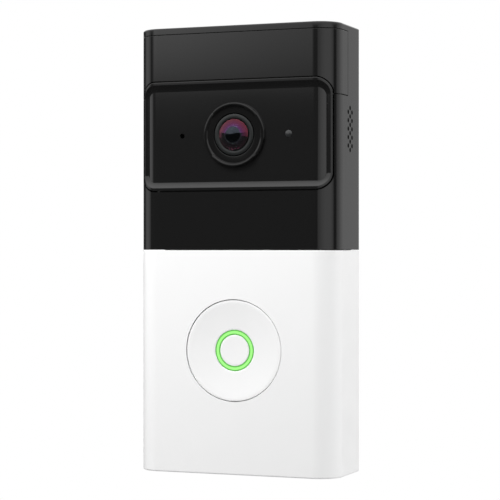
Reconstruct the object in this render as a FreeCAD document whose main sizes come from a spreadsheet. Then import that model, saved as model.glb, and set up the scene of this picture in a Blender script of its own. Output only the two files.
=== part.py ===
"""A battery video doorbell on its wall plate, one object of the document for each piece.

Frame: +Z up, the front faces -Y, and the origin is the middle of the wall plate's back face.
A distance "from the wall" is measured from that face towards the front.
"""
import FreeCAD, Part
import os
import re

import Sketcher
from FreeCAD import Placement, Rotation, Vector

# Every size that can be set by itself, in millimetres.
SIZES = {
    # case
    "case_width": 66.85,
    "case_height": 140.0,
    "case_depth": 24.0,
    "wall_gap": 0.4,
    "corner_radius": 7.5,
    "rear_corner": 0.8,
    "shell_wall": 2.0,
    "seam_gap": 0.15,
    "edge_round": 0.5,
    "fit_gap": 0.05,
    "loose_gap": 0.25,
    # front cap, a skin over the top of the front and both corners
    "cap_thickness": 1.0,
    "cap_drop": 2.2,
    "cap_height": 19.8,
    "cap_side_depth": 12.25,
    # camera bezel and the panel recessed in it
    "bezel_drop": 16.7,
    "bezel_side": 1.375,
    "bezel_height": 35.05,
    "bezel_corner": 5.2,
    "bezel_gap": 0.3,
    "bezel_strip": 0.8,
    "bezel_return": 0.1,
    "recess_depth": 1.1,
    "slope_height": 2.2,
    "slope_width": 1.3,
    "mouth_corner": 2.6,
    "seat_depth": 3.0,
    "panel_thickness": 1.2,
    "panel_margin": 2.0,
    # lens
    "lens_rise": 0.125,
    "hood_radius": 10.1,
    "hood_neck": 8.3,
    "hood_bore": 6.75,
    "hood_rise": 0.2,
    "hood_floor": 0.5,
    "hood_relief": 0.4,
    "hood_relief_from": 6.5,
    "hood_length": 6.2,
    "hood_rim_drop": 0.5,
    "hood_rim_inset": 0.4,
    "hood_rim_width": 0.5,
    "hood_rim_slope": 0.35,
    "barrel_radius": 6.5,
    "barrel_setback": 0.5,
    "barrel_shoulder": 6.0,
    "barrel_edge": 0.25,
    "barrel_edge_drop": 0.15,
    "barrel_lip": 0.35,
    "barrel_lip_drop": 0.3,
    "throat_radius": 2.4,
    "thread_radius": 5.0,
    "glass_radius": 4.85,
    "glass_dome": 1.1,
    "glass_lead": 0.1,
    "glass_hollow": 0.8,
    "glass_seat": 1.5,
    "inner_radius": 2.6,
    "inner_seat": 2.7,
    "inner_edge": 0.5,
    "inner_dome": 0.7,
    "retainer_radius": 3.1,
    "retainer_height": 0.95,
    "retainer_bevel": 0.2,
    "holder_width": 20.0,
    "holder_height": 18.0,
    "holder_front": 6.6,
    "holder_back": 12.0,
    "filter_width": 11.0,
    "filter_height": 6.6,
    "filter_travel": 5.5,
    "filter_depth": 9.4,
    "filter_thickness": 0.6,
    # microphone and light sensor beside the lens
    "mic_offset": 17.75,
    "mic_radius": 0.8,
    "sensor_offset": 17.9,
    "sensor_radius": 1.2,
    "pipe_radius": 1.0,
    "pipe_flange": 1.8,
    "pipe_flange_height": 0.6,
    "pipe_dome": 0.4,
    "pipe_sink": 0.1,
    "sensor_height": 0.7,
    "mic_height": 1.1,
    "boot_radius": 2.2,
    "side_drop": 0.0,
    # boards
    "board_thickness": 1.0,
    "ir_board_depth": 7.0,
    "ir_board_width": 46.0,
    "ir_board_height": 25.0,
    "ir_post_inset": 2.4,
    "ir_post_rise": 9.6,
    "lamp_side": 14.2,
    "lamp_rise": 6.5,
    "lamp_size": 2.8,
    "lamp_height": 2.2,
    "camera_board_size": 23.0,
    "main_board_depth": 13.8,
    "main_board_width": 46.0,
    "main_board_height": 56.0,
    "main_board_rise": 4.0,
    "main_post_inset": 2.6,
    "main_post_low": 4.0,
    "main_post_high": 37.0,
    "shield_width": 22.0,
    "shield_length": 13.0,
    "shield_height": 1.6,
    "switch_size": 4.0,
    "post_radius": 1.8,
    "pilot_radius": 0.72,
    "board_screw": 0.7,
    "board_screw_head": 1.5,
    "board_screw_length": 3.4,
    "board_screw_cap": 0.9,
    "screw_clearance": 0.15,
    # speaker behind its grille in the right-hand wall
    "grille_hole": 0.72,
    "grille_pitch": 2.62,
    "grille_column": 1.85,
    "grille_depth": 14.5,
    "grille_drop": 25.75,
    "speaker_height": 16.0,
    "speaker_width": 9.2,
    "speaker_depth": 3.4,
    "speaker_shift": 1.7,
    "speaker_setback": 1.2,
    "speaker_rim": 1.2,
    "gasket_width": 0.8,
    "gasket_thickness": 0.85,
    "mesh_thickness": 0.25,
    # doorbell button
    "button_drop": 31.3,
    "button_radius": 15.75,
    "button_gap": 0.22,
    "button_setback": 0.2,
    "button_wall": 1.3,
    "dish_depth": 1.0,
    "dish_rim": 0.35,
    "dish_plate": 1.4,
    "ring_outer": 6.4,
    "ring_inner": 4.9,
    "flange_reach": 1.0,
    "flange_thickness": 0.7,
    "web_thickness": 0.9,
    "web_reach": 1.4,
    "stem_radius": 1.5,
    "stem_height": 1.9,
    "plunger_low": 0.9,
    "tact_size": 6.0,
    "tact_height": 1.4,
    "guide_depth": 4.5,
    "button_travel": 0.5,
    "button_board_depth": 7.4,
    "button_board_width": 41.0,
    "button_board_height": 34.0,
    "button_post_inset": 2.0,
    "button_post_rise": 14.4,
    # battery
    "battery_width": 46.0,
    "battery_height": 48.0,
    "battery_thickness": 5.4,
    "battery_depth": 9.6,
    "battery_drop": 10.0,
    "cradle_thickness": 0.9,
    "rail_width": 1.2,
    # rear housing
    "plate_recess": 4.0,
    "floor_thickness": 2.4,
    "floor_gap": 0.25,
    "seal_width": 1.2,
    "seal_depth": 1.2,
    "boss_radius": 2.2,
    "boss_side": 27.8,
    "boss_end": 7.0,
    "boss_seam": 5.6,
    "screw_radius": 0.9,
    "screw_head": 1.9,
    "screw_length": 8.0,
    "screw_sink": 1.4,
    # charging port and its rubber cover
    "port_rise": 12.0,
    "port_width": 9.0,
    "port_height": 3.3,
    "cover_width": 13.0,
    "cover_height": 8.8,
    "cover_thickness": 1.2,
    "cover_lip": 0.7,
    # wire terminals
    "terminal_side": 7.0,
    "terminal_drop": 6.0,
    "terminal_thread": 1.5,
    "terminal_head": 3.0,
    "terminal_plate": 1.0,
    "terminal_size": 8.4,
    "terminal_cap": 1.4,
    "insert_wall": 0.65,
    "insert_reach": 2.9,
    # setup button on the back
    "setup_side": 12.0,
    "setup_rise": 24.0,
    "setup_radius": 1.5,
    "setup_travel": 0.3,
    # wall plate, its hooks and its latch
    "plate_width": 60.8,
    "plate_top": 66.6,
    "plate_bottom": 60.6,
    "plate_thickness": 3.0,
    "plate_corner": 4.0,
    "window_width": 28.0,
    "window_top": 32.0,
    "window_bottom": 16.0,
    "bar_height": 4.0,
    "bar_thickness": 1.5,
    "wall_hole": 2.25,
    "wall_hole_head": 4.2,
    "wall_hole_rise": 48.0,
    "wall_hole_drop": 36.0,
    "hook_side": 20.0,
    "hook_rise": 58.0,
    "hook_drop": 30.0,
    "hook_width": 6.0,
    "hook_stem": 2.5,
    "hook_lip": 5.0,
    "hook_lip_thickness": 1.6,
    "hook_play": 0.8,
    "ledge_thickness": 1.2,
    "pocket_depth": 3.6,
    "pocket_wall": 1.2,
    "lift_travel": 7.0,
    "latch_width": 8.0,
    "latch_thickness": 0.4,
    "latch_slot_width": 14.0,
    "latch_slot_top": 50.0,
    "rivet_side": 2.4,
    "rivet_rise": 4.6,
    "rivet_hole": 0.9,
    "rivet_head": 1.5,
    "rivet_cap": 0.6,
    "pin_hole": 1.3,
}

# Places worked out from those sizes, as expressions.
HALF_WIDTH = "case_width / 2"
HALF_HEIGHT = "case_height / 2"
FRONT = "(wall_gap + case_depth)"
INNER_SIDE = "(case_width / 2 - shell_wall)"
INNER_TOP = "(case_height / 2 - shell_wall)"
FLOOR_BACK = "(wall_gap + plate_recess)"
FLOOR_FRONT = "(wall_gap + plate_recess + floor_thickness)"
CAP_BOTTOM = "(case_height / 2 - cap_drop - cap_height)"
BEZEL_WIDTH = "(case_width - 2 * bezel_side)"
BEZEL_MIDDLE = "(case_height / 2 - bezel_drop - bezel_height / 2)"
BEZEL_REACH = "(corner_radius + bezel_return)"
LENS = f"({BEZEL_MIDDLE} + lens_rise)"
SIDE_EYE = f"({LENS} - side_drop)"
GRILLE_TOP = "(case_height / 2 - grille_drop)"
BUTTON = "(0 - button_drop)"
DISH_EDGE = "(button_radius - dish_rim)"
DISH_CURVE = f"(({DISH_EDGE} ^ 2 + dish_depth ^ 2) / (2 * dish_depth))"
BUTTON_FACE = f"({FRONT} - button_setback)"
IR_BOARD = f"({FRONT} - ir_board_depth)"
CAMERA_BOARD = f"({FRONT} - holder_back)"
MAIN_BOARD = f"({FRONT} - main_board_depth)"
BUTTON_BOARD = f"({FRONT} - button_board_depth)"

# A piece turned along its own Z axis points to the front or to the back.
TO_FRONT = Rotation(Vector(1, 0, 0), 90)
TO_BACK = Rotation(Vector(1, 0, 0), -90)
UPRIGHT = Rotation()

GRILLE_ROWS = 6
SHIELD_RISES = (32, 47)
RING_LIGHTS = 8
OVERSHOOT = "1"
START, END, CENTRE = 1, 2, 3

doc = FreeCAD.newDocument("VideoDoorbell")
sheet = doc.addObject("Spreadsheet::Sheet", "Sizes")
for row, (alias, size) in enumerate(SIZES.items(), start=1):
    sheet.set(f"A{row}", alias)
    sheet.set(f"B{row}", str(size))
    sheet.setAlias(f"B{row}", alias)
doc.recompute()
pieces = {}


def bound(expression):
    """The expression with every size read from the sheet."""
    return re.sub(r"[a-z]\w*_\w+", lambda found: f"Sizes.{found.group()}", str(expression))


def number(expression):
    """What the expression comes to now."""
    return float(sheet.evalExpression(bound(expression).replace("Sizes.", "")))


def keep(name, item):
    """List the object as a finished piece under its own name."""
    item.Label = name
    pieces[name] = item
    return item


def place(item, x=0, y=0, z=0, turn=UPRIGHT):
    """Turn the object, then tie each coordinate of its place to the sheet."""
    item.Placement = Placement(Vector(number(x), number(y), number(z)), turn)
    for letter, expression in zip("xyz", (x, y, z)):
        item.setExpression(f"Placement.Base.{letter}", bound(expression))
    return item


# --- sketches ---------------------------------------------------------------------------------


def new_body(name, x=0, y=0, z=0, turn=UPRIGHT):
    body = doc.addObject("PartDesign::Body", name)
    return keep(name, place(body, x, y, z, turn))


def sketch_on(body, plane, offset="0"):
    """A sketch parallel to one of the body's own planes."""
    support = next(face for face in body.Origin.OriginFeatures if face.Role == plane)
    item = body.newObject("Sketcher::SketchObject", f"{body.Name}_sketch")
    item.AttachmentSupport = [(support, "")]
    item.MapMode = "FlatFace"
    item.setExpression("AttachmentOffset.Base.z", bound(offset))
    return item


def constrain(item, kind, *where, size):
    """Add one dimension to a sketch and tie it to the sheet."""
    index = item.addConstraint(Sketcher.Constraint(kind, *where, number(size)))
    item.setExpression(f"Constraints[{index}]", bound(size))


def pin(item, shape, end, x, y):
    constrain(item, "DistanceX", -1, START, shape, end, size=x)
    constrain(item, "DistanceY", -1, START, shape, end, size=y)


def circle(item, x, y, radius):
    shape = item.addGeometry(Part.Circle(Vector(number(x), number(y)), Vector(0, 0, 1), number(radius)))
    pin(item, shape, CENTRE, x, y)
    constrain(item, "Radius", shape, size=radius)


def stepped(corner, other, radius):
    """The point one radius from a corner towards its neighbour, along X or Y."""
    across, up = number(other[0]) - number(corner[0]), number(other[1]) - number(corner[1])
    if abs(across) > abs(up):
        return f"({corner[0]}) {'+' if across > 0 else '-'} ({radius})", corner[1]
    return corner[0], f"({corner[1]}) {'+' if up > 0 else '-'} ({radius})"


def arc_between(first, last, radius, turns_left):
    """The arc of less than half a turn from one point to another."""
    chord = last - first
    middle = (first + last) / 2
    height = max(radius ** 2 - (chord.Length / 2) ** 2, 0.0) ** 0.5
    side = Vector(-chord.y, chord.x).normalize() * (1 if turns_left else -1)
    centre = middle + side * height
    ring = Part.Circle(centre, Vector(0, 0, 1), radius)
    ends = (first, last) if turns_left else (last, first)
    return Part.ArcOfCircle(ring, ring.parameter(ends[0]), ring.parameter(ends[1]))


def outline(item, corners):
    """A closed outline: each corner is x and y, then a rounding radius or None, then the radius of
    the arc to the next corner, negative where it turns to the right."""
    stations = []
    for index, corner in enumerate(corners):
        rounding = corner[2] if len(corner) > 2 else None
        bulge = corner[3] if len(corner) > 3 else None
        if rounding is None:
            stations.append((corner[0], corner[1], bulge))
            continue
        before = stepped(corner, corners[index - 1], rounding)
        after = stepped(corner, corners[(index + 1) % len(corners)], rounding)
        there = Vector(number(corner[0]), number(corner[1]))
        first = Vector(number(before[0]), number(before[1]))
        last = Vector(number(after[0]), number(after[1]))
        left = (there - first).cross(last - there).z > 0
        stations.append((*before, rounding if left else f"-({rounding})"))
        stations.append((*after, None))
    spans = []
    for index, (x, y, bulge) in enumerate(stations):
        following = stations[(index + 1) % len(stations)]
        first = Vector(number(x), number(y))
        last = Vector(number(following[0]), number(following[1]))
        if bulge is None:
            shape = item.addGeometry(Part.LineSegment(first, last))
            spans.append((shape, START, END))
            continue
        left = number(bulge) > 0
        shape = item.addGeometry(arc_between(first, last, abs(number(bulge)), left))
        spans.append((shape, START, END) if left else (shape, END, START))
    for index, (x, y, bulge) in enumerate(stations):
        shape, start, _ = spans[index]
        previous, _, end = spans[index - 1]
        item.addConstraint(Sketcher.Constraint("Coincident", previous, end, shape, start))
        pin(item, shape, start, x, y)
        if bulge is not None:
            constrain(item, "Radius", shape, size=f"abs({bulge})")


def rectangle(item, x, y, width, height, corner=None):
    """A rectangle about its middle, with rounded corners where a radius is given."""
    left, right = f"({x}) - ({width}) / 2", f"({x}) + ({width}) / 2"
    low, high = f"({y}) - ({height}) / 2", f"({y}) + ({height}) / 2"
    outline(item, [(left, low, corner), (right, low, corner), (right, high, corner), (left, high, corner)])


def block_outline(item, inset, back):
    """The case seen from above, drawn in by an inset, from the front to a distance from the wall."""
    side, front = f"{HALF_WIDTH} - ({inset})", f"0 - {FRONT} + ({inset})"
    round_front, round_back = f"corner_radius - ({inset})", "rear_corner"
    rear = f"0 - ({back})"
    outline(item, [
        (f"0 - ({side})", rear, round_back), (f"0 - ({side})", front, round_front),
        (side, front, round_front), (side, rear, round_back),
    ])


def wrap_outline(item, outer, inner, back):
    """A band round the front and both front corners, between two insets of the case."""
    rear = f"0 - ({back})"
    edges = []
    for inset in (outer, inner):
        side, front = f"({HALF_WIDTH} - ({inset}))", f"0 - {FRONT} + ({inset})"
        rounding = f"corner_radius - ({inset})"
        edges.append([
            (f"0 - {side}", rear), (f"0 - {side}", front, rounding), (side, front, rounding), (side, rear),
        ])
    outline(item, edges[0] + edges[1][::-1])


# --- features ---------------------------------------------------------------------------------


def feature_of(kind, body, item, **sizes):
    feature = body.newObject(f"PartDesign::{kind}", f"{body.Name}_{kind.lower()}")
    feature.Profile = item
    for name, expression in sizes.items():
        feature.setExpression(name, bound(expression))
    return feature


def pad(body, item, length, backwards=False):
    feature_of("Pad", body, item, Length=length).Reversed = backwards


def pocket(body, item, length, forwards=False):
    """Cut against the sketch's normal, or along it where forwards is true."""
    feature_of("Pocket", body, item, Length=length).Reversed = forwards


def turned(name, x, z, profile, turn=TO_FRONT, y=0):
    """A piece turned about its own Z axis, from points of radius and height."""
    body = new_body(name, x, y, z, turn)
    item = sketch_on(body, "XZ_Plane")
    outline(item, profile)
    feature = feature_of("Revolution", body, item)
    feature.ReferenceAxis = (item, ["V_Axis"])
    return body


def round_edges(body, radius, wanted):
    """Fillet the edges of the body's last feature that pass the test."""
    doc.recompute()
    base = body.Tip
    names = [f"Edge{place + 1}" for place, edge in enumerate(base.Shape.Edges) if wanted(edge.BoundBox)]
    feature = body.newObject("PartDesign::Fillet", f"{body.Name}_fillet")
    feature.Base = (base, names)
    feature.setExpression("Radius", bound(radius))


def slab(name, x, z, width, height, near, thickness, corner=None):
    """A flat rectangular piece across the case, its near face at a distance from the wall."""
    body = new_body(name)
    item = sketch_on(body, "XZ_Plane", near)
    rectangle(item, x, z, width, height, corner)
    pad(body, item, thickness)
    return body


def drill(body, places, radius, near, depth):
    """Round holes along Y, cut from a distance from the wall towards it."""
    item = sketch_on(body, "XZ_Plane", near)
    for x, z in places:
        circle(item, x, z, radius)
    pocket(body, item, depth)


def posts(body, places, radius, near, length, backwards=False):
    item = sketch_on(body, "XZ_Plane", near)
    for x, z in places:
        circle(item, x, z, radius)
    pad(body, item, length, backwards)


# --- primitives for small stock pieces --------------------------------------------------------


def cylinder(x, y, z, turn, radius, height):
    item = doc.addObject("Part::Cylinder", "cylinder")
    item.setExpression("Radius", bound(radius))
    item.setExpression("Height", bound(height))
    return place(item, x, y, z, turn)


def box(x, near, z, width, depth, height):
    """A box about x and z whose near face is a distance from the wall, reaching to the front."""
    item = doc.addObject("Part::Box", "box")
    item.setExpression("Length", bound(width))
    item.setExpression("Width", bound(depth))
    item.setExpression("Height", bound(height))
    return place(item, f"({x}) - ({width}) / 2", f"0 - ({near}) - ({depth})", f"({z}) - ({height}) / 2")


def joined(solids):
    item = doc.addObject("Part::MultiFuse", "joined")
    item.Shapes = solids
    return item


def less(solid, tool):
    item = doc.addObject("Part::Cut", "less")
    item.Base = solid
    item.Tool = tool
    return item


def group(name, solids):
    item = doc.addObject("Part::Compound", name)
    item.Links = solids
    return keep(name, item)


def cross_screw(x, z, seat, turn, radius, length, head, head_height):
    """A pan-head screw whose head sits on a face at a distance from the wall."""
    back = "+" if turn is TO_FRONT else "-"
    shank = cylinder(x, f"0 - ({seat}) {back} ({length})", z, turn, radius, length)
    cap = cylinder(x, f"0 - ({seat})", z, turn, head, head_height)
    near = f"({seat}) + ({head_height}) / 2" if turn is TO_FRONT else f"({seat}) - ({head_height})"
    bars = [
        box(x, near, z, f"({head}) * 1.1", f"({head_height}) / 2", f"({head}) * 0.3"),
        box(x, near, z, f"({head}) * 0.3", f"({head_height}) / 2", f"({head}) * 1.1"),
    ]
    return less(joined([shank, cap]), joined(bars))


def both_sides(side, *heights):
    return [(x, height) for height in heights for x in (side, f"0 - ({side})")]


# --- case -------------------------------------------------------------------------------------

UPPER_BOSSES = both_sides("boss_side", f"{HALF_HEIGHT} - boss_end", "boss_seam")
LOWER_BOSSES = both_sides("boss_side", f"boss_end - {HALF_HEIGHT}", "0 - boss_seam")
BOSS_LENGTH = f"{FRONT} - shell_wall - 1 - {FLOOR_FRONT}"
OPENING = dict(x="0", y=BEZEL_MIDDLE, width=BEZEL_WIDTH, height="bezel_height", corner="bezel_corner")


def case_half(name, low, height, hollow_from):
    """One half of the outer shell, open at the back and at the seam, with its screw bosses."""
    body = new_body(name)
    item = sketch_on(body, "XY_Plane", low)
    block_outline(item, "0", "wall_gap")
    pad(body, item, height)
    doc.recompute()
    outer_end = number(HALF_HEIGHT) * (1 if number(low) > 0 else -1)
    round_edges(body, "edge_round", lambda box: abs(box.ZMin - outer_end) < 1e-6 and box.ZLength < 1e-6)
    item = sketch_on(body, "XY_Plane", hollow_from)
    side, front = INNER_SIDE, f"0 - {FRONT} + shell_wall"
    rounding = "corner_radius - shell_wall"
    outline(item, [
        (f"0 - {side}", OVERSHOOT), (f"0 - {side}", front, rounding),
        (side, front, rounding), (side, OVERSHOOT),
    ])
    pocket(body, item, f"{height} - shell_wall", forwards=True)
    return body


def add_bosses(body, places):
    posts(body, places, "boss_radius", FLOOR_FRONT, BOSS_LENGTH)
    item = sketch_on(body, "XZ_Plane", FLOOR_FRONT)
    for x, z in places:
        circle(item, x, z, "screw_radius + fit_gap")
    pocket(body, item, "screw_length", forwards=True)


def upper_housing():
    height = f"({HALF_HEIGHT} - seam_gap / 2)"
    body = case_half("upper_housing", "seam_gap / 2", height, "seam_gap / 2")
    add_bosses(body, UPPER_BOSSES)
    rebate = sketch_on(body, "XY_Plane", f"{CAP_BOTTOM} - seam_gap")
    wrap_outline(rebate, "0 - 1", "cap_thickness + fit_gap", f"{FRONT} - cap_side_depth - seam_gap")
    pocket(body, rebate, "cap_height + 2 * seam_gap", forwards=True)
    opening = sketch_on(body, "XZ_Plane", f"{FRONT} + {OVERSHOOT}")
    rectangle(opening, **OPENING)
    pocket(body, opening, f"{BEZEL_REACH} + 1")
    holes = sketch_on(body, "YZ_Plane", f"{HALF_WIDTH} + {OVERSHOOT}")
    middle = f"grille_depth - {FRONT}"
    for step in range(GRILLE_ROWS):
        circle(holes, middle, f"{GRILLE_TOP} - {step} * grille_pitch", "grille_hole")
    for step in range(GRILLE_ROWS - 1):
        for shift in ("- grille_column", "+ grille_column"):
            circle(holes, f"{middle} {shift}", f"{GRILLE_TOP} - {step + 0.5} * grille_pitch", "grille_hole")
    pocket(body, holes, "shell_wall + 2")


def lower_cover():
    height = f"({HALF_HEIGHT} - seam_gap / 2)"
    body = case_half("lower_cover", f"0 - {HALF_HEIGHT}", height, f"shell_wall - {HALF_HEIGHT}")
    add_bosses(body, LOWER_BOSSES)
    posts(body, [("0", BUTTON)], "button_radius + button_gap + 1.4", f"{FRONT} - guide_depth",
          "guide_depth - shell_wall / 2")
    posts(body, BUTTON_POSTS, "post_radius", BUTTON_BOARD, "button_board_depth - shell_wall / 2")
    drill(body, [("0", BUTTON)], "button_radius + button_gap", f"{FRONT} + {OVERSHOOT}", "guide_depth + 2")
    item = sketch_on(body, "XZ_Plane", BUTTON_BOARD)
    for x, z in BUTTON_POSTS:
        circle(item, x, z, "pilot_radius")
    pocket(body, item, "board_screw_length", forwards=True)
    hole = sketch_on(body, "XY_Plane", f"0 - {HALF_HEIGHT} - {OVERSHOOT}")
    circle(hole, "0", f"0 - (plate_thickness / 2 + latch_thickness)", "pin_hole")
    pocket(body, hole, "shell_wall + 2", forwards=True)


def front_cap():
    body = new_body("front_cap")
    item = sketch_on(body, "XY_Plane", CAP_BOTTOM)
    wrap_outline(item, "0", "cap_thickness", f"{FRONT} - cap_side_depth")
    pad(body, item, "cap_height")
    opening = sketch_on(body, "XZ_Plane", f"{FRONT} + {OVERSHOOT}")
    rectangle(opening, **OPENING)
    pocket(body, opening, f"{BEZEL_REACH} + 1")


MOUTH_WIDTH = f"({BEZEL_WIDTH} - 2 * (bezel_gap + bezel_strip + slope_width))"
MOUTH_HEIGHT = "(bezel_height - 2 * (bezel_gap + bezel_strip + slope_height))"


def trimmed_to(body, width, height, corner):
    """Take away all of the front that lies outside a rounded rectangle about the bezel's middle."""
    item = sketch_on(body, "XZ_Plane", f"{FRONT} + {OVERSHOOT}")
    rectangle(item, "0", BEZEL_MIDDLE, "case_width + 4", "bezel_height + 12")
    rectangle(item, "0", BEZEL_MIDDLE, width, height, corner)
    pocket(body, item, "case_depth")


def camera_bezel():
    """A frame over the panel's edge, its mouth widened by a slope that starts at the strip."""
    body = new_body("camera_bezel")
    item = sketch_on(body, "XY_Plane", f"{BEZEL_MIDDLE} - bezel_height / 2 - 1")
    wrap_outline(item, "0", "seat_depth", f"{FRONT} - {BEZEL_REACH}")
    pad(body, item, "bezel_height + 2")
    trimmed_to(body, f"{BEZEL_WIDTH} - 2 * bezel_gap", "bezel_height - 2 * bezel_gap",
               "bezel_corner - bezel_gap")
    mouth = sketch_on(body, "XZ_Plane", f"{FRONT} + {OVERSHOOT}")
    rectangle(mouth, "0", BEZEL_MIDDLE, MOUTH_WIDTH, MOUTH_HEIGHT, "mouth_corner")
    pocket(body, mouth, f"{BEZEL_REACH} + 2")
    doc.recompute()
    base = body.Tip
    reach, rise = number(MOUTH_WIDTH) / 2 + 0.01, number(MOUTH_HEIGHT) / 2 + 0.01
    middle, skin = number(BEZEL_MIDDLE), number(f"2 - {FRONT}")
    lips = [
        f"Edge{place + 1}" for place, edge in enumerate(base.Shape.Edges)
        if edge.BoundBox.YMax < skin and max(-edge.BoundBox.XMin, edge.BoundBox.XMax) < reach
        and max(middle - edge.BoundBox.ZMin, edge.BoundBox.ZMax - middle) < rise
    ]
    slope = body.newObject("PartDesign::Chamfer", "camera_bezel_slope")
    slope.Base = (base, lips)
    slope.ChamferType = "Two distances"
    slope.setExpression("Size", bound("slope_height"))
    slope.setExpression("Size2", bound("recess_depth"))


IR_POSTS = both_sides("ir_board_width / 2 - ir_post_inset", f"{LENS} - ir_post_rise",
                      f"{LENS} + ir_post_rise")
MAIN_POSTS = both_sides("main_board_width / 2 - main_post_inset", "main_board_rise + main_post_low",
                        "main_board_rise + main_post_high")
BUTTON_POSTS = both_sides("button_board_width / 2 - button_post_inset", f"{BUTTON} - button_post_rise",
                          f"{BUTTON} + button_post_rise")
PANEL_LOW = f"({BEZEL_MIDDLE} - bezel_height / 2 - panel_margin)"
PANEL_HEIGHT = "(bezel_height + 2 * panel_margin)"


def camera_panel():
    """A dark window that fills the bezel's mouth, on a wider flange that is clamped behind it."""
    body = new_body("camera_panel")
    item = sketch_on(body, "XY_Plane", PANEL_LOW)
    wrap_outline(item, "recess_depth", "seat_depth + panel_thickness", f"{FRONT} - {BEZEL_REACH}")
    pad(body, item, PANEL_HEIGHT)
    trimmed_to(body, f"{MOUTH_WIDTH} - 2 * fit_gap", f"{MOUTH_HEIGHT} - 2 * fit_gap", "mouth_corner")
    flange = sketch_on(body, "XY_Plane", PANEL_LOW)
    wrap_outline(flange, "seat_depth + 0.02", "seat_depth + panel_thickness", f"{FRONT} - {BEZEL_REACH}")
    pad(body, flange, PANEL_HEIGHT)
    posts(body, IR_POSTS, "post_radius", IR_BOARD, "ir_board_depth - seat_depth - panel_thickness / 2")
    start = f"{FRONT} - recess_depth + {OVERSHOOT}"
    through = "seat_depth + panel_thickness - recess_depth + 2"
    drill(body, [("0", LENS)], "hood_neck + fit_gap", start, through)
    drill(body, [("0 - mic_offset", SIDE_EYE)], "mic_radius", start, through)
    drill(body, [("sensor_offset", SIDE_EYE)], "sensor_radius", start, through)
    item = sketch_on(body, "XZ_Plane", IR_BOARD)
    for x, z in IR_POSTS:
        circle(item, x, z, "pilot_radius")
    pocket(body, item, "ir_board_depth - seat_depth - panel_thickness", forwards=True)


def panel_seal():
    """A foam gasket between the inside of the housing and the edge of the panel."""
    body = new_body("panel_seal")
    item = sketch_on(body, "XY_Plane", PANEL_LOW)
    wrap_outline(item, "shell_wall + fit_gap", "seat_depth - fit_gap", f"{FRONT} - {BEZEL_REACH}")
    pad(body, item, PANEL_HEIGHT)
    opening = sketch_on(body, "XZ_Plane", f"{FRONT} + {OVERSHOOT}")
    rectangle(opening, **OPENING)
    pocket(body, opening, f"{BEZEL_REACH} + 1")


# --- camera -----------------------------------------------------------------------------------


def behind(depth):
    """A height from the wall, given a depth behind the front face."""
    return f"({FRONT} - ({depth}))"


def lens_hood():
    top = behind("0 - hood_rise")
    body = turned("lens_hood", "0", LENS, [
        ("hood_bore", behind("hood_length")),
        ("hood_neck", behind("hood_length")),
        ("hood_neck", behind("recess_depth")),
        ("hood_radius", behind("recess_depth")),
        ("hood_radius", f"{top} - hood_rim_drop"),
        ("hood_radius - hood_rim_inset", top),
        ("hood_radius - hood_rim_inset - hood_rim_width", top),
        ("hood_radius - hood_rim_inset - hood_rim_width - hood_rim_slope", behind("hood_floor")),
        ("hood_bore", behind("hood_floor")),
    ])
    item = sketch_on(body, "XY_Plane", behind(f"0 - {OVERSHOOT}"))
    for side in ("", "0 - "):
        rectangle(item, f"{side}(hood_relief_from + 4)", "0", "8", "hood_radius * 2 + 4")
    pocket(body, item, f"{OVERSHOOT} + hood_relief")


def lens_barrel():
    turned("lens_barrel", "0", LENS, [
        ("throat_radius", behind("holder_front + 2")),
        ("thread_radius", behind("holder_front + 2")),
        ("thread_radius", behind("barrel_shoulder")),
        ("barrel_radius", behind("barrel_shoulder")),
        ("barrel_radius", behind("barrel_setback + barrel_edge_drop")),
        ("barrel_radius - barrel_edge", behind("barrel_setback")),
        ("glass_radius + barrel_lip", behind("barrel_setback")),
        ("glass_radius + fit_gap", behind("barrel_setback + barrel_lip_drop")),
        ("glass_radius + fit_gap", behind("glass_seat")),
        ("retainer_radius + fit_gap", behind("glass_seat")),
        ("retainer_radius + fit_gap", behind("inner_seat")),
        ("throat_radius", behind("inner_seat")),
    ])


def front_lens():
    """A domed glass with a hollow back."""
    crown = "((glass_radius ^ 2 + glass_dome ^ 2) / (2 * glass_dome))"
    hollow = "((retainer_radius ^ 2 + glass_hollow ^ 2) / (2 * glass_hollow))"
    back = behind("glass_seat - fit_gap")
    turned("front_lens", "0", LENS, [
        ("0", f"{back} + glass_hollow", None, f"0 - {hollow}"),
        ("retainer_radius", back),
        ("glass_radius", back),
        ("glass_radius", behind("barrel_setback - glass_lead"), None, crown),
        ("0", behind("barrel_setback - glass_lead - glass_dome")),
    ])


def inner_lens():
    seat = behind("inner_seat - fit_gap")
    crown = "((inner_radius ^ 2 + inner_dome ^ 2) / (2 * inner_dome))"
    turned("inner_lens", "0", LENS, [
        ("0", seat),
        ("inner_radius", seat),
        ("inner_radius", f"{seat} + inner_edge", None, crown),
        ("0", f"{seat} + inner_edge + inner_dome"),
    ])
    turned("lens_retainer", "0", LENS, [
        ("inner_radius + fit_gap", seat),
        ("retainer_radius", seat),
        ("retainer_radius", f"{seat} + retainer_height"),
        ("inner_radius + fit_gap", f"{seat} + retainer_height - retainer_bevel"),
    ])


def lens_holder():
    body = slab("lens_holder", "0", LENS, "holder_width", "holder_height", CAMERA_BOARD,
                "holder_back - holder_front", "1.5")
    drill(body, [("0", LENS)], "thread_radius + fit_gap", behind("holder_front"), "2.1")
    drill(body, [("0", LENS)], "throat_radius", behind("holder_front"), "3.2")
    room = sketch_on(body, "XZ_Plane", CAMERA_BOARD)
    rectangle(room, "0", LENS, "filter_width + filter_travel + 2 * loose_gap", "filter_height + 0.3")
    pocket(body, room, "holder_back - filter_depth + fit_gap", forwards=True)


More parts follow.
